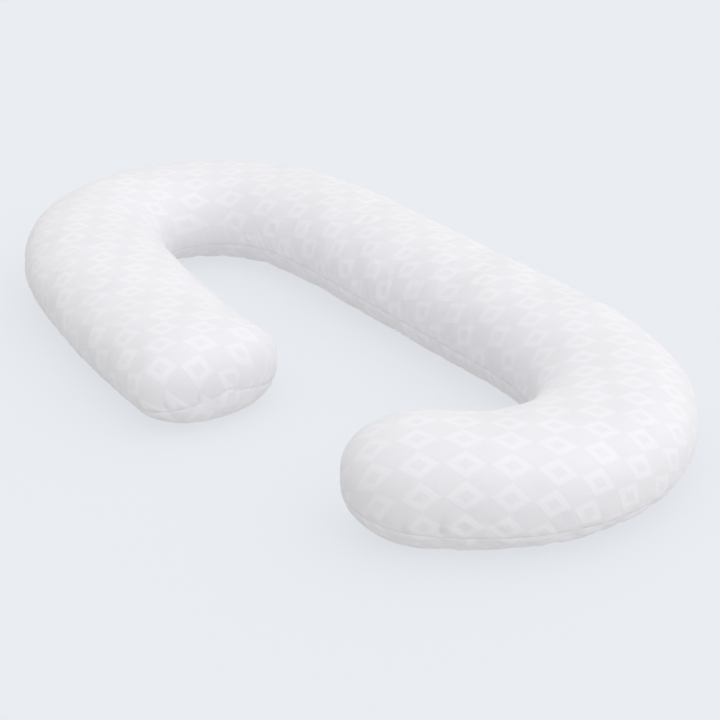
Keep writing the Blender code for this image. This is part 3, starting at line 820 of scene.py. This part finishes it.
def jacquard_fabric(pillow):
    """Polyester and cotton jacquard, woven and calendered.

    The lozenges are satin weave, smoother and paler than the matt ground, and stand up a little.
    The threads are drawn four times coarser than they are, to show at all.
    """
    pattern, colours = pillow.jacquard, pillow.colours
    material, tree, shader = principled(
        "woven_polyester_cotton_jacquard",
        {"Sheen Weight": 0.25, "Sheen Roughness": 0.45, "Specular IOR Level": 0.3, "IOR": 1.5},
    )
    weave = node(tree, "ShaderNodeUVMap", {"uv_map": "weave"})
    shift = (pattern.shift_column, pattern.shift_row, 0.0)
    scale = (1 / pattern.column, 1 / pattern.row, 1.0)
    cell = node(tree, "ShaderNodeMapping", None, {"Vector": weave, "Location": shift, "Scale": scale})
    part = node(tree, "ShaderNodeVectorMath", {"operation": "FRACTION"}, {0: cell})
    middle = (0.5, 0.5, 0.0)
    centred = node(tree, "ShaderNodeVectorMath", {"operation": "SUBTRACT"}, {0: part, 1: middle})
    folded = node(tree, "ShaderNodeVectorMath", {"operation": "ABSOLUTE"}, {0: centred})
    reach = (pattern.column / pattern.half_width, pattern.row / pattern.half_height, 0.0)
    size = node(tree, "ShaderNodeVectorMath", {"operation": "DOT_PRODUCT"}, {0: folded, 1: reach})
    size = size.outputs["Value"]
    diagonal = math.hypot(pattern.half_width, pattern.half_height)
    hole = 1 - pattern.stroke / (pattern.half_width * pattern.half_height / diagonal)
    inside = step_down(tree, size, 1.0, LOZENGE_EDGE)
    outside_hole = math_node(tree, "SUBTRACT", 1.0, step_down(tree, size, hole, LOZENGE_EDGE))
    ring = math_node(tree, "MULTIPLY", inside, outside_hole)
    warp = waves(tree, weave, "X", pattern.thread)
    weft = waves(tree, weave, "Y", pattern.thread)
    matt = math_node(tree, "MULTIPLY", warp, weft)
    satin = math_node(tree, "MULTIPLY", weft, 0.6)
    threads = node(tree, "ShaderNodeMix", {"data_type": "FLOAT"}, {0: ring, 2: matt, 3: satin})
    place = node(tree, "ShaderNodeTexCoord").outputs["Object"]
    cloud = node(tree, "ShaderNodeTexNoise", None, {"Vector": place, "Scale": 9.0, "Detail": 3.0})
    base = mix_colours(tree, ring, colours.ground, colours.motif)
    shades = {"From Min": 0.3, "From Max": 0.7, "To Min": 0.975, "To Max": 1.01}
    shade = node(tree, "ShaderNodeMapRange", None, {"Value": cloud, **shades})
    # depth darkens the colour between the threads: painted shade in the weave's hollows. The cloud is the
    # fabric's own mottled tone.
    depth = node(tree, "ShaderNodeMapRange", None, {"Value": threads, "To Min": 0.975, "To Max": 1.0})
    value = math_node(tree, "MULTIPLY", shade, depth)
    toned = node(tree, "ShaderNodeHueSaturation", None, {"Color": base, "Value": value})
    feed(tree, shader.inputs["Base Color"], toned)
    rough = node(tree, "ShaderNodeMapRange", None, {"Value": ring, "To Min": 0.82, "To Max": 0.66})
    feed(tree, shader.inputs["Roughness"], rough)
    raised = math_node(tree, "MULTIPLY_ADD", ring, LOZENGE_RISE)
    feed(tree, raised.inputs[2], math_node(tree, "MULTIPLY", threads, 1 - LOZENGE_RISE))
    bump(tree, shader, raised, JACQUARD_RELIEF)
    return material


def cotton_percale(pillow):
    """Unbleached cotton percale: one thread over, one under, which gives a fine matt check."""
    pitch = 0.0012
    material, tree, shader = principled(
        "woven_cotton_percale",
        {"Roughness": 0.8, "Sheen Weight": 0.15, "Sheen Roughness": 0.5, "Specular IOR Level": 0.3},
    )
    place = node(tree, "ShaderNodeUVMap", {"uv_map": "weave"})
    warp = waves(tree, place, "X", pitch)
    weft = waves(tree, place, "Y", pitch)
    threads = math_node(tree, "MULTIPLY", warp, weft)
    # Darker between the threads: painted shade in the weave's hollows.
    patterned(tree, shader, threads, pillow.colours.casing, 0.9, pitch * 0.25)
    return material


def carded_fibre(pillow):
    """Siliconised polyester fibre, carded into a loose batt, which looks like soft cloud."""
    material, tree, shader = principled(
        "carded_polyester_fibre", {"Roughness": 0.9, "Sheen Weight": 0.4, "Sheen Roughness": 0.6}
    )
    place = node(tree, "ShaderNodeTexCoord").outputs["Object"]
    wool = {"Vector": place, "Scale": 60.0, "Detail": 6.0, "Roughness": 0.7}
    tufts = node(tree, "ShaderNodeTexNoise", None, wool)
    # Darker between the tufts: painted shade in the batt's hollows.
    patterned(tree, shader, tufts, pillow.colours.fibre, 0.85, 0.004)
    return material


def twisted_thread(pillow):
    """Spun polyester sewing thread, twisted from three plies, with a low silky gloss."""
    material, tree, shader = principled(
        "spun_polyester_thread", {"Roughness": 0.45, "Sheen Weight": 0.2, "Specular IOR Level": 0.45}
    )
    place = node(tree, "ShaderNodeTexCoord").outputs["Object"]
    plies = waves(tree, place, "DIAGONAL", 0.0006)
    # Darker between the plies: painted shade in the twist's grooves.
    patterned(tree, shader, plies, pillow.colours.thread, 0.88, 0.00008)
    return material


def zip_tape_fabric(pillow):
    """Polyester zip tape, woven in a herringbone that shows as fine slanted ribs."""
    material, tree, shader = principled(
        "woven_polyester_tape", {"Roughness": 0.6, "Sheen Weight": 0.15, "Specular IOR Level": 0.35}
    )
    place = node(tree, "ShaderNodeTexCoord").outputs["Object"]
    apart = node(tree, "ShaderNodeSeparateXYZ", None, {"Vector": place}).outputs
    stripe = math_node(tree, "PINGPONG", apart[2], 0.0021)
    slanted = math_node(tree, "ADD", apart[0], stripe)
    ribs = node(tree, "ShaderNodeCombineXYZ", None, {0: slanted})
    threads = waves(tree, ribs, "X", 0.0007)
    # Darker between the ribs: painted shade in the weave's grooves.
    patterned(tree, shader, threads, pillow.colours.tape, 0.86, 0.00012)
    return material


def nylon_coil(pillow):
    """Nylon monofilament, extruded and heat-set, slightly clear and glossy."""
    depth = (0.001, 0.001, 0.001)
    material, tree, shader = principled(
        "extruded_nylon_monofilament",
        {"Roughness": 0.28, "IOR": 1.53, "Subsurface Weight": 0.15, "Subsurface Radius": depth},
    )
    place = node(tree, "ShaderNodeTexCoord").outputs["Object"]
    draw = node(tree, "ShaderNodeTexNoise", None, {"Vector": place, "Scale": 900.0, "Detail": 2.0})
    # Darker in the low spots of the drawing marks: painted shade.
    patterned(tree, shader, draw, pillow.colours.coil, 0.93, 0.00002)
    return material


def plated_zinc(pillow):
    """Zinc alloy, die-cast, tumbled and nickel-plated: bright, with faint tumbling marks."""
    material, tree, shader = principled("nickel_plated_zinc", {"Metallic": 1.0})
    place = node(tree, "ShaderNodeTexCoord").outputs["Object"]
    marks = node(tree, "ShaderNodeTexNoise", None, {"Vector": place, "Scale": 700.0, "Detail": 4.0})
    # Darker in the low spots of the tumbling marks: painted shade.
    patterned(tree, shader, marks, pillow.colours.metal, 0.9, 0.00003)
    rough = node(tree, "ShaderNodeMapRange", None, {"Value": marks, "To Min": 0.16, "To Max": 0.36})
    feed(tree, shader.inputs["Roughness"], rough)
    return material


def satin_label(pillow):
    """Polyester satin ribbon, woven with long floats, so it shines across its width."""
    material, tree, shader = principled(
        "woven_polyester_satin", {"Roughness": 0.32, "Anisotropic": 0.5, "Sheen Weight": 0.2}
    )
    place = node(tree, "ShaderNodeTexCoord").outputs["Object"]
    floats = waves(tree, place, "Z", 0.0006)
    # Darker between the floats: painted shade in the weave's grooves.
    patterned(tree, shader, floats, pillow.colours.label, 0.93, 0.00005)
    return material


def stage_acrylic(pillow):
    """Opal acrylic, cast matt and lit from below, which leaves only a faint shadow round a piece."""
    floor, glow = pillow.colours.floor, pillow.stage.floor_glow
    material, tree, shader = principled(
        "cast_opal_acrylic",
        {
            "Roughness": 0.9,
            "Specular IOR Level": 0.05,
            "Emission Color": colour4(floor),
            "Emission Strength": glow,
        },
    )
    place = node(tree, "ShaderNodeTexCoord").outputs["Object"]
    grain = node(tree, "ShaderNodeTexNoise", None, {"Vector": place, "Scale": 3.0, "Detail": 1.0})
    base = [c * (1 - glow) for c in floor]
    tone = mix_colours(tree, grain, base, [c * 0.995 for c in base])
    feed(tree, shader.inputs["Base Color"], tone)
    return material


# ---- Sewn layers ----
def opened(fine, points, sewing, direction):
    """A cover panel's points with its outer edge moved up (+1) or down (-1) along the zip's mouth."""
    outer = fine.from_seams()[0]
    give = np.clip(1 - outer / sewing.mouth_ease, 0.0, 1.0)
    lift = direction * sewing.mouth * fine.mouth_opening(sewing)[:, None] * give
    moved = points.copy()
    moved[:, :, 2] += lift
    return moved


def make_cover(pillow):
    """Both jacquard panels, apart along the zip's mouth and joined along the rest of the seams."""
    fine, sewing = surface(pillow), pillow.sewing
    fabric = jacquard_fabric(pillow)
    weave, low_start = fine.weave(pillow)
    top_weave = weave[:, : FINE_TOP_ROWS + 1]
    low_weave = np.concatenate((low_start, weave[:, FINE_TOP_ROWS + 1 :]), axis=1)
    raised = opened(fine, fine.points, sewing, +1)
    lowered = opened(fine, fine.points, sewing, -1)
    pieces = (
        ("cover_top", fine.top(raised), top_weave, "cover_top_panel"),
        ("cover_bottom", fine.bottom(lowered), low_weave, "cover_bottom_panel"),
    )
    for name, points, uv, replaced in pieces:
        panel = grid_object(name, points, uv, poles=True)
        thicken(panel, sewing.cover_thickness)
        finish_piece(panel, fabric, "cover_fabric", "pillow", replaced)


def make_casing(pillow):
    """Both cotton panels of the casing, and the fibre in it."""
    fine, sewing = surface(pillow), pillow.sewing
    cotton = cotton_percale(pillow)
    inset = sewing.cover_thickness + sewing.layer_gap
    points = fine.layer(inset, sewing.zip_recess)[::RING_SPLIT]
    weave, low_start = fine.weave(pillow)
    low_weave = np.concatenate((low_start, weave[:, FINE_TOP_ROWS + 1 :]), axis=1)
    pieces = (
        ("casing_top", fine.top(points), weave[::RING_SPLIT, : FINE_TOP_ROWS + 1], "casing_top_panel"),
        ("casing_bottom", fine.bottom(points), low_weave[::RING_SPLIT], "casing_bottom_panel"),
    )
    for name, panel_points, uv, replaced in pieces:
        panel = grid_object(name, panel_points, uv, poles=True)
        thicken(panel, sewing.casing_thickness)
        finish_piece(panel, cotton, "casing_fabric", "pillow", replaced)
    inset += sewing.casing_thickness + sewing.layer_gap
    batt = grid_object("filling", fine.layer(inset, sewing.zip_recess)[::RING_SPLIT], wrap=True, poles=True)
    finish_piece(batt, carded_fibre(pillow), "fibre", "pillow", "fibre_filling")


# ---- Stitches ----
LOCKSTITCH = 0.003
CASING_GAP = 0.075  # half the hole through which the casing was filled
SLIP_STITCH = 0.006
BARTACK_STEP = 0.0005
BARTACK_SLANT = 0.12


def unit(vectors):
    """Vectors made one long."""
    return vectors / np.maximum(np.linalg.norm(vectors, axis=-1, keepdims=True), 1e-12)


def spindles(centres, along, out, half_length, half_width, half_height, rings=5, sides=6):
    """Closed spindle shapes, one at each centre, as an array of shapes by rings by sides.

    Ring i lies at half length times minus the cosine of its angle; its width is the sine of that
    angle to the power 0.5, so a spindle is full along its length with round ends.
    """
    angles = np.linspace(0.0, math.pi, rings)
    swing = np.linspace(0.0, 2 * math.pi, sides, endpoint=False)
    thick = np.sin(angles) ** 0.5
    thick[[0, -1]] = 0.0
    along, out = unit(along), unit(out)
    side = np.cross(out, along)
    lengthways = (-np.cos(angles) * half_length)[None, :, None, None] * along[:, None, None, :]
    sideways = (thick[:, None] * np.cos(swing) * half_width)[None, :, :, None] * side[:, None, None, :]
    upwards = (thick[:, None] * np.sin(swing) * half_height)[None, :, :, None] * out[:, None, None, :]
    return centres[:, None, None, :] + lengthways + sideways + upwards


def along_path(points, out, spacing, offset=0.0):
    """Centres, directions and outward directions at even spacings along a path."""
    run = run_length(points)
    places = np.arange(spacing / 2 + offset, run[-1], spacing)
    centres = np.stack([np.interp(places, run, points[:, axis]) for axis in range(3)], axis=1)
    outs = np.stack([np.interp(places, run, out[:, axis]) for axis in range(3)], axis=1)
    ahead = np.stack([np.interp(places + spacing / 2, run, points[:, axis]) for axis in range(3)], axis=1)
    return centres, ahead - centres, outs


def make_seam_threads(pillow):
    """Rows of lockstitch inside the seams of cover and casing, and the casing's closing stitches."""
    fine, sewing = surface(pillow), pillow.sewing
    thread = twisted_thread(pillow)
    inset = sewing.cover_thickness + sewing.layer_gap / 2
    deeper = inset + sewing.layer_gap + sewing.casing_thickness
    pieces = (
        ("cover_seam_stitches", inset, "cover_seam_thread", pillow.tube.band_reach, 0),
        ("casing_seam_stitches", deeper, "casing_seam_thread", CASING_GAP, FINE_TOP_ROWS),
    )
    for name, depth, replaced, gap, gap_row in pieces:
        shapes = []
        for row in (0, FINE_TOP_ROWS):
            points = fine.points[:, row] - fine.normals[:, row] * depth
            keep = [np.ones(len(points), bool)]
            if row == gap_row:
                keep = [fine.distance <= -gap, fine.distance >= gap]
            for part in keep:
                centres, along, out = along_path(points[part], fine.normals[part, row], LOCKSTITCH)
                shapes.append(spindles(centres, along, out, 0.0014, 0.00025, 0.00025, 5, 4))
        stitches = joined(name, np.concatenate(shapes))
        finish_piece(stitches, thread, "sewing_thread", "pillow", replaced)
    low, high = [np.array(corner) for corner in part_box("casing_closing_stitch")]
    count = round((high[0] - low[0]) / SLIP_STITCH)
    edges = np.linspace(low[0], high[0], count + 1)
    centres = np.tile((low + high) / 2, (count, 1))
    centres[:, 0] = (edges[1:] + edges[:-1]) / 2
    slant = np.where(np.arange(count) % 2, 1.0, -1.0) * (high[2] - low[2])
    along = np.stack([np.full(count, edges[1] - edges[0]), np.zeros(count), slant], axis=1)
    out = np.tile((0.0, -1.0, 0.0), (count, 1))
    half = np.linalg.norm(along[0]) / 2
    closing = joined("casing_closing_stitches", spindles(centres, along, out, half, 0.0003, 0.0003))
    finish_piece(closing, thread, "sewing_thread", "pillow", "casing_closing_stitch")


def make_topstitching(pillow):
    """Lockstitches along both edges of the zip's mouth, and a bartack across each end."""
    thread = twisted_thread(pillow)
    for row in ("upper", "lower"):
        low, high = [np.array(corner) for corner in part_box(f"zip_topstitch_{row}")]
        middle = (low + high) / 2
        path = np.array([[low[0], middle[1], middle[2]], [high[0], middle[1], middle[2]]])
        out = np.array([[0.0, 1.0, 0.0]] * 2)
        centres, along, outs = along_path(path, out, LOCKSTITCH)
        centres[:, 1] = low[1]
        stitches = joined(f"topstitch_{row}", spindles(centres, along, outs, 0.00128, 0.0003, 0.0004))
        finish_piece(stitches, thread, "sewing_thread", "pillow", f"zip_topstitch_{row}")
    for end in ("left", "right"):
        low, high = [np.array(corner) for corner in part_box(f"zip_bartack_{end}")]
        count = round((high[2] - low[2]) / BARTACK_STEP)
        centres = np.tile((low + high) / 2, (count, 1))
        centres[:, 1] = low[1]
        centres[:, 2] = np.linspace(low[2], high[2], count)
        along = np.tile((1.0, 0.0, BARTACK_SLANT), (count, 1))
        out = np.tile((0.0, 1.0, 0.0), (count, 1))
        half = (high[0] - low[0]) / 2
        tack = joined(f"bartack_{end}", spindles(centres, along, out, half, 0.00028, 0.0004))
        finish_piece(tack, thread, "sewing_thread", "pillow", f"zip_bartack_{end}")


# ---- Zip ----
TAPE_ROWS, TAPE_RINGS = 24, 200
TAPE_SQUARENESS = 8.0
TAPE_BEAD = 0.25  # how much thicker the tape is at its bead, as a share
BEAD_PLACE, BEAD_WIDTH = 0.93, 0.05  # from the tape's middle, as shares of its half width
COIL_PITCH = 0.0014
COIL_WIRE = 0.00034  # radius
COIL_STEPS, COIL_SIDES = 12, 5
COIL_ROUNDNESS = 2.6


def make_tapes(pillow):
    """Both woven tapes, each a thin strip with a bead along the coil's side.

    A section is a flat superellipse, and a bell curve across it swells it at the bead.
    """
    fabric = zip_tape_fabric(pillow)
    for row in ("upper", "lower"):
        low, high = [np.array(corner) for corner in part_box(f"zip_tape_{row}")]
        swing = np.linspace(0.0, 2 * math.pi, TAPE_ROWS, endpoint=False)
        wide, thin = superellipse(swing, TAPE_SQUARENESS)
        middle, half = (low + high) / 2, (high - low) / 2
        to_coil = wide if row == "lower" else -wide
        bead = 1 + TAPE_BEAD * bell((to_coil - BEAD_PLACE) / BEAD_WIDTH)
        along = np.linspace(-1.0, 1.0, TAPE_RINGS)
        along = np.concatenate(([-1.0], along, [1.0]))
        close = np.ones(len(along))
        close[[0, -1]] = 0.0
        points = np.stack(
            np.broadcast_arrays(
                middle[0] + half[0] * along[:, None],
                middle[1] + half[1] * (thin * bead)[None, :] * close[:, None],
                middle[2] - half[2] * wide[None, :] * close[:, None],
            ),
            axis=2,
        )
        tape = grid_object(f"tape_{row}", points, wrap=True, poles=True)
        finish_piece(tape, fabric, "zip_tape", "pillow", f"zip_tape_{row}")


def make_coils(pillow):
    """Both rows of coil: one flattened helix of monofilament each.

    A turn goes once round an oval as wide as the row and as thick as the coil, and moves along by
    the pitch; the upper row is half a pitch ahead of the lower.
    """
    nylon = nylon_coil(pillow)
    for row, ahead in (("upper", 0.25), ("lower", 0.75)):
        low, high = [np.array(corner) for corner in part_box(f"zip_coil_{row}")]
        turns = round((high[0] - low[0]) / COIL_PITCH) - 1
        angles = np.linspace(0.0, 2 * math.pi * turns, turns * COIL_STEPS + 1)
        middle, half = (low + high) / 2, (high - low) / 2 - COIL_WIRE
        start = low[0] + COIL_PITCH * ahead + COIL_WIRE
        wide, thick = superellipse(angles, COIL_ROUNDNESS)
        centre = np.stack(
            (
                start + COIL_PITCH * angles / (2 * math.pi),
                middle[1] + half[1] * thick,
                middle[2] + half[2] * wide,
            ),
            axis=1,
        )
        ahead_of = unit(np.gradient(centre, axis=0))
        side = unit(np.cross(ahead_of, (1.0, 0.0, 0.0)))
        up = np.cross(ahead_of, side)
        swing = np.linspace(0.0, 2 * math.pi, COIL_SIDES, endpoint=False)[:, None]
        circle = np.cos(swing) * side[:, None] + np.sin(swing) * up[:, None]
        tube = centre[:, None] + COIL_WIRE * circle
        ends = np.repeat(centre[[0, -1], None], COIL_SIDES, axis=1)
        points = np.concatenate((ends[:1], tube, ends[1:]))
        coil = grid_object(f"coil_{row}", points, wrap=True, poles=True)
        finish_piece(coil, nylon, "zip_coil", "pillow", f"zip_coil_{row}")


def pebble(low, high, squareness=4.0, rings=12, sides=20):
    """A closed superellipsoid that fills a box, as rings by sides."""
    middle, half = (low + high) / 2, (high - low) / 2
    angles = np.linspace(-math.pi / 2, math.pi / 2, rings)
    across, lengthways = superellipse(angles, squareness)
    across[[0, -1]] = 0.0
    wide, thick = superellipse(np.linspace(0.0, 2 * math.pi, sides, endpoint=False), squareness)
    return np.stack(
        np.broadcast_arrays(
            middle[0] + half[0] * lengthways[:, None],
            middle[1] + half[1] * across[:, None] * wide,
            middle[2] + half[2] * across[:, None] * thick,
        ),
        axis=2,
    )


def make_stops(pillow):
    """The crimped stops: one on each coil at the top end and one across both at the bottom."""
    metal = plated_zinc(pillow)
    for name in ("zip_top_stop_upper", "zip_top_stop_lower", "zip_bottom_stop"):
        low, high = [np.array(corner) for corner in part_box(name)]
        stop = grid_object(name.replace("zip_", "crimped_"), pebble(low, high), wrap=True, poles=True)
        finish_piece(stop, metal, "zip_metal", "pillow", name)


def make_slider(pillow):
    """The slider and its pull keep their cast shape and take the plated finish."""
    metal = plated_zinc(pillow)
    for name in ("zip_slider", "zip_pull"):
        item = frame["nodes"][name]
        item.data.materials.clear()
        item.data.materials.append(metal)


LABEL_THICKNESS = 0.00016
LABEL_STEPS, LABEL_BEND_STEPS, LABEL_COLUMNS = 26, 9, 22
LABEL_CURL, LABEL_RIPPLE = 0.0022, 0.0004


def make_label(pillow):
    """A blank ribbon label, folded once and sewn in under the zip, with a soft curl.

    The ribbon runs down, round a half circle and back up. It curls out with the square of its
    depth, more at its corners, and a small wave runs across it.
    """
    low, high = [np.array(corner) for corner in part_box("care_label")]
    gap = (high[1] - low[1]) / 2 - LABEL_THICKNESS / 2
    drop = high[2] - low[2] - gap - LABEL_THICKNESS
    down = np.linspace(0.0, drop, LABEL_STEPS)
    bend = np.linspace(0.0, math.pi, LABEL_BEND_STEPS)[1:-1]
    depth = np.concatenate((down, drop + gap * np.sin(bend), down[::-1]))
    front = np.full(LABEL_STEPS, gap)
    out = np.concatenate((front, gap * np.cos(bend), -front))
    share = np.linspace(-1.0, 1.0, LABEL_COLUMNS)
    curl = LABEL_CURL * (depth / drop)[:, None] ** 2 * (0.35 + share**2)
    curl = curl + LABEL_RIPPLE * np.sin(9 * share + 160 * depth[:, None])
    points = np.stack(
        np.broadcast_arrays(
            (low[0] + high[0]) / 2 + (high[0] - low[0]) / 2 * share,
            (low[1] + high[1]) / 2 + out[:, None] + curl * (depth / drop)[:, None],
            high[2] - depth[:, None],
        ),
        axis=2,
    )
    label = grid_object("blank_label", points)
    label.data.flip_normals()
    thicken(label, LABEL_THICKNESS)
    finish_piece(label, satin_label(pillow), "label_satin", "pillow", "care_label")


# ---- Stage ----
FLOOR_DROP = 0.0004  # of the floor below what the pillow rests on
DOME_EDGE = -0.4  # cosine of the angle from the brightest direction where the dome is darkest


def direction_to(azimuth, elevation):
    """Unit direction to a camera or a light at an azimuth from the front and an elevation."""
    level = math.cos(elevation)
    return np.array((math.sin(azimuth) * level, -math.cos(azimuth) * level, math.sin(elevation)))


def light_dome(stage):
    """A dome of soft light that grows from its dark side to its bright side.

    Its strength is a smooth step of the angle's cosine between a direction and the brightest one.
    """
    world = bpy.data.worlds.new("light_dome")
    world.use_nodes = True
    tree = world.node_tree
    direction = node(tree, "ShaderNodeTexCoord").outputs["Generated"]
    brightest = tuple(direction_to(stage.light_azimuth, stage.light_elevation))
    facing = node(tree, "ShaderNodeVectorMath", {"operation": "DOT_PRODUCT"}, {0: direction, 1: brightest})
    limits = {"From Min": DOME_EDGE, "To Min": stage.dome_dark, "To Max": stage.dome_bright}
    strength = node(
        tree,
        "ShaderNodeMapRange",
        {"interpolation_type": "SMOOTHSTEP"},
        {"Value": facing.outputs["Value"], **limits},
    )
    feed(tree, tree.nodes["Background"].inputs["Strength"], strength)
    tree.nodes["Background"].inputs["Color"].default_value = (1.0, 1.0, 1.0, 1.0)
    return world


def make_stage(pillow):
    """Pale floor, a dome of soft light, and the camera.

    The floor sends no light on to the pillow, whose shade comes from the dome alone.
    """
    stage = pillow.stage
    scene = bpy.context.scene
    half = stage.floor_half
    flat = np.linspace(-half, half, 3)
    points = np.stack(np.broadcast_arrays(flat[:, None], -flat[None, :], -FLOOR_DROP), axis=2)
    floor = grid_object("floor", points)
    floor.data.flip_normals()
    floor.data.materials.append(stage_acrylic(pillow))
    floor.visible_diffuse = False
    floor.visible_shadow = False
    scene.world = light_dome(stage)
    camera = bpy.data.cameras.new("camera")
    camera.lens = stage.lens
    item = bpy.data.objects.new("camera", camera)
    away = direction_to(stage.azimuth, stage.elevation)
    item.location = np.array(stage.target) + away * stage.distance
    item.rotation_euler = (math.pi / 2 - stage.elevation, 0.0, stage.azimuth)
    scene.collection.objects.link(item)
    scene.camera = item
    scene.view_settings.view_transform = "Standard"


# ---- Operators ----
class NURSING_PILLOW_OT_cover(Operator):
    """Make the two jacquard panels of the cover"""

    bl_idname = "nursing_pillow.cover"
    bl_label = "Cover"

    def execute(self, context):
        make_cover(context.scene.nursing_pillow)
        return {"FINISHED"}


class NURSING_PILLOW_OT_casing(Operator):
    """Make the cotton casing and the fibre in it"""

    bl_idname = "nursing_pillow.casing"
    bl_label = "Casing and filling"

    def execute(self, context):
        make_casing(context.scene.nursing_pillow)
        return {"FINISHED"}


class NURSING_PILLOW_OT_seam_threads(Operator):
    """Make the stitches inside the seams"""

    bl_idname = "nursing_pillow.seam_threads"
    bl_label = "Seam threads"

    def execute(self, context):
        make_seam_threads(context.scene.nursing_pillow)
        return {"FINISHED"}


class NURSING_PILLOW_OT_topstitching(Operator):
    """Make the stitches that hold the zip"""

    bl_idname = "nursing_pillow.topstitching"
    bl_label = "Topstitching"

    def execute(self, context):
        make_topstitching(context.scene.nursing_pillow)
        return {"FINISHED"}


class NURSING_PILLOW_OT_tapes(Operator):
    """Make the zip's woven tapes"""

    bl_idname = "nursing_pillow.tapes"
    bl_label = "Zip tapes"

    def execute(self, context):
        make_tapes(context.scene.nursing_pillow)
        return {"FINISHED"}


class NURSING_PILLOW_OT_coils(Operator):
    """Make the zip's nylon coils"""

    bl_idname = "nursing_pillow.coils"
    bl_label = "Zip coils"

    def execute(self, context):
        make_coils(context.scene.nursing_pillow)
        return {"FINISHED"}


class NURSING_PILLOW_OT_stops(Operator):
    """Make the zip's crimped stops"""

    bl_idname = "nursing_pillow.stops"
    bl_label = "Zip stops"

    def execute(self, context):
        make_stops(context.scene.nursing_pillow)
        return {"FINISHED"}


class NURSING_PILLOW_OT_slider(Operator):
    """Make the zip's slider and its pull"""

    bl_idname = "nursing_pillow.slider"
    bl_label = "Zip slider"

    def execute(self, context):
        make_slider(context.scene.nursing_pillow)
        return {"FINISHED"}


class NURSING_PILLOW_OT_label(Operator):
    """Make the blank care label"""

    bl_idname = "nursing_pillow.label"
    bl_label = "Care label"

    def execute(self, context):
        make_label(context.scene.nursing_pillow)
        return {"FINISHED"}


class NURSING_PILLOW_OT_stage(Operator):
    """Make the floor, the light dome and the camera"""

    bl_idname = "nursing_pillow.stage"
    bl_label = "Stage"

    def execute(self, context):
        make_stage(context.scene.nursing_pillow)
        return {"FINISHED"}


STEPS = (
    NURSING_PILLOW_OT_cover,
    NURSING_PILLOW_OT_casing,
    NURSING_PILLOW_OT_seam_threads,
    NURSING_PILLOW_OT_topstitching,
    NURSING_PILLOW_OT_tapes,
    NURSING_PILLOW_OT_coils,
    NURSING_PILLOW_OT_stops,
    NURSING_PILLOW_OT_slider,
    NURSING_PILLOW_OT_label,
    NURSING_PILLOW_OT_stage,
)


class NURSING_PILLOW_PT_steps(Panel):
    """Lists the pillow's build steps"""

    bl_idname = "NURSING_PILLOW_PT_steps"
    bl_label = "Nursing Pillow"
    bl_space_type = "VIEW_3D"
    bl_region_type = "UI"
    bl_category = "Pillow"

    def draw(self, context):
        column = self.layout.column(align=True)
        for step in STEPS:
            column.operator(step.bl_idname)


GROUPS = (
    TubeSizes,
    HeadArmSizes,
    KneeArmSizes,
    SewingSizes,
    SwellSettings,
    JacquardSizes,
    Colours,
    StageSizes,
    PillowSettings,
)
CLASSES = GROUPS + STEPS + (NURSING_PILLOW_PT_steps,)


def register():
    for item in CLASSES:
        bpy.utils.register_class(item)
    bpy.types.Scene.nursing_pillow = PointerProperty(type=PillowSettings)


def unregister():
    del bpy.types.Scene.nursing_pillow
    for item in reversed(CLASSES):
        bpy.utils.unregister_class(item)


def main():
    """Builds everything in order."""
    register()
    for step in STEPS:
        area, name = step.bl_idname.split(".")
        getattr(getattr(bpy.ops, area), name)()


if __name__ == "__main__":
    main()
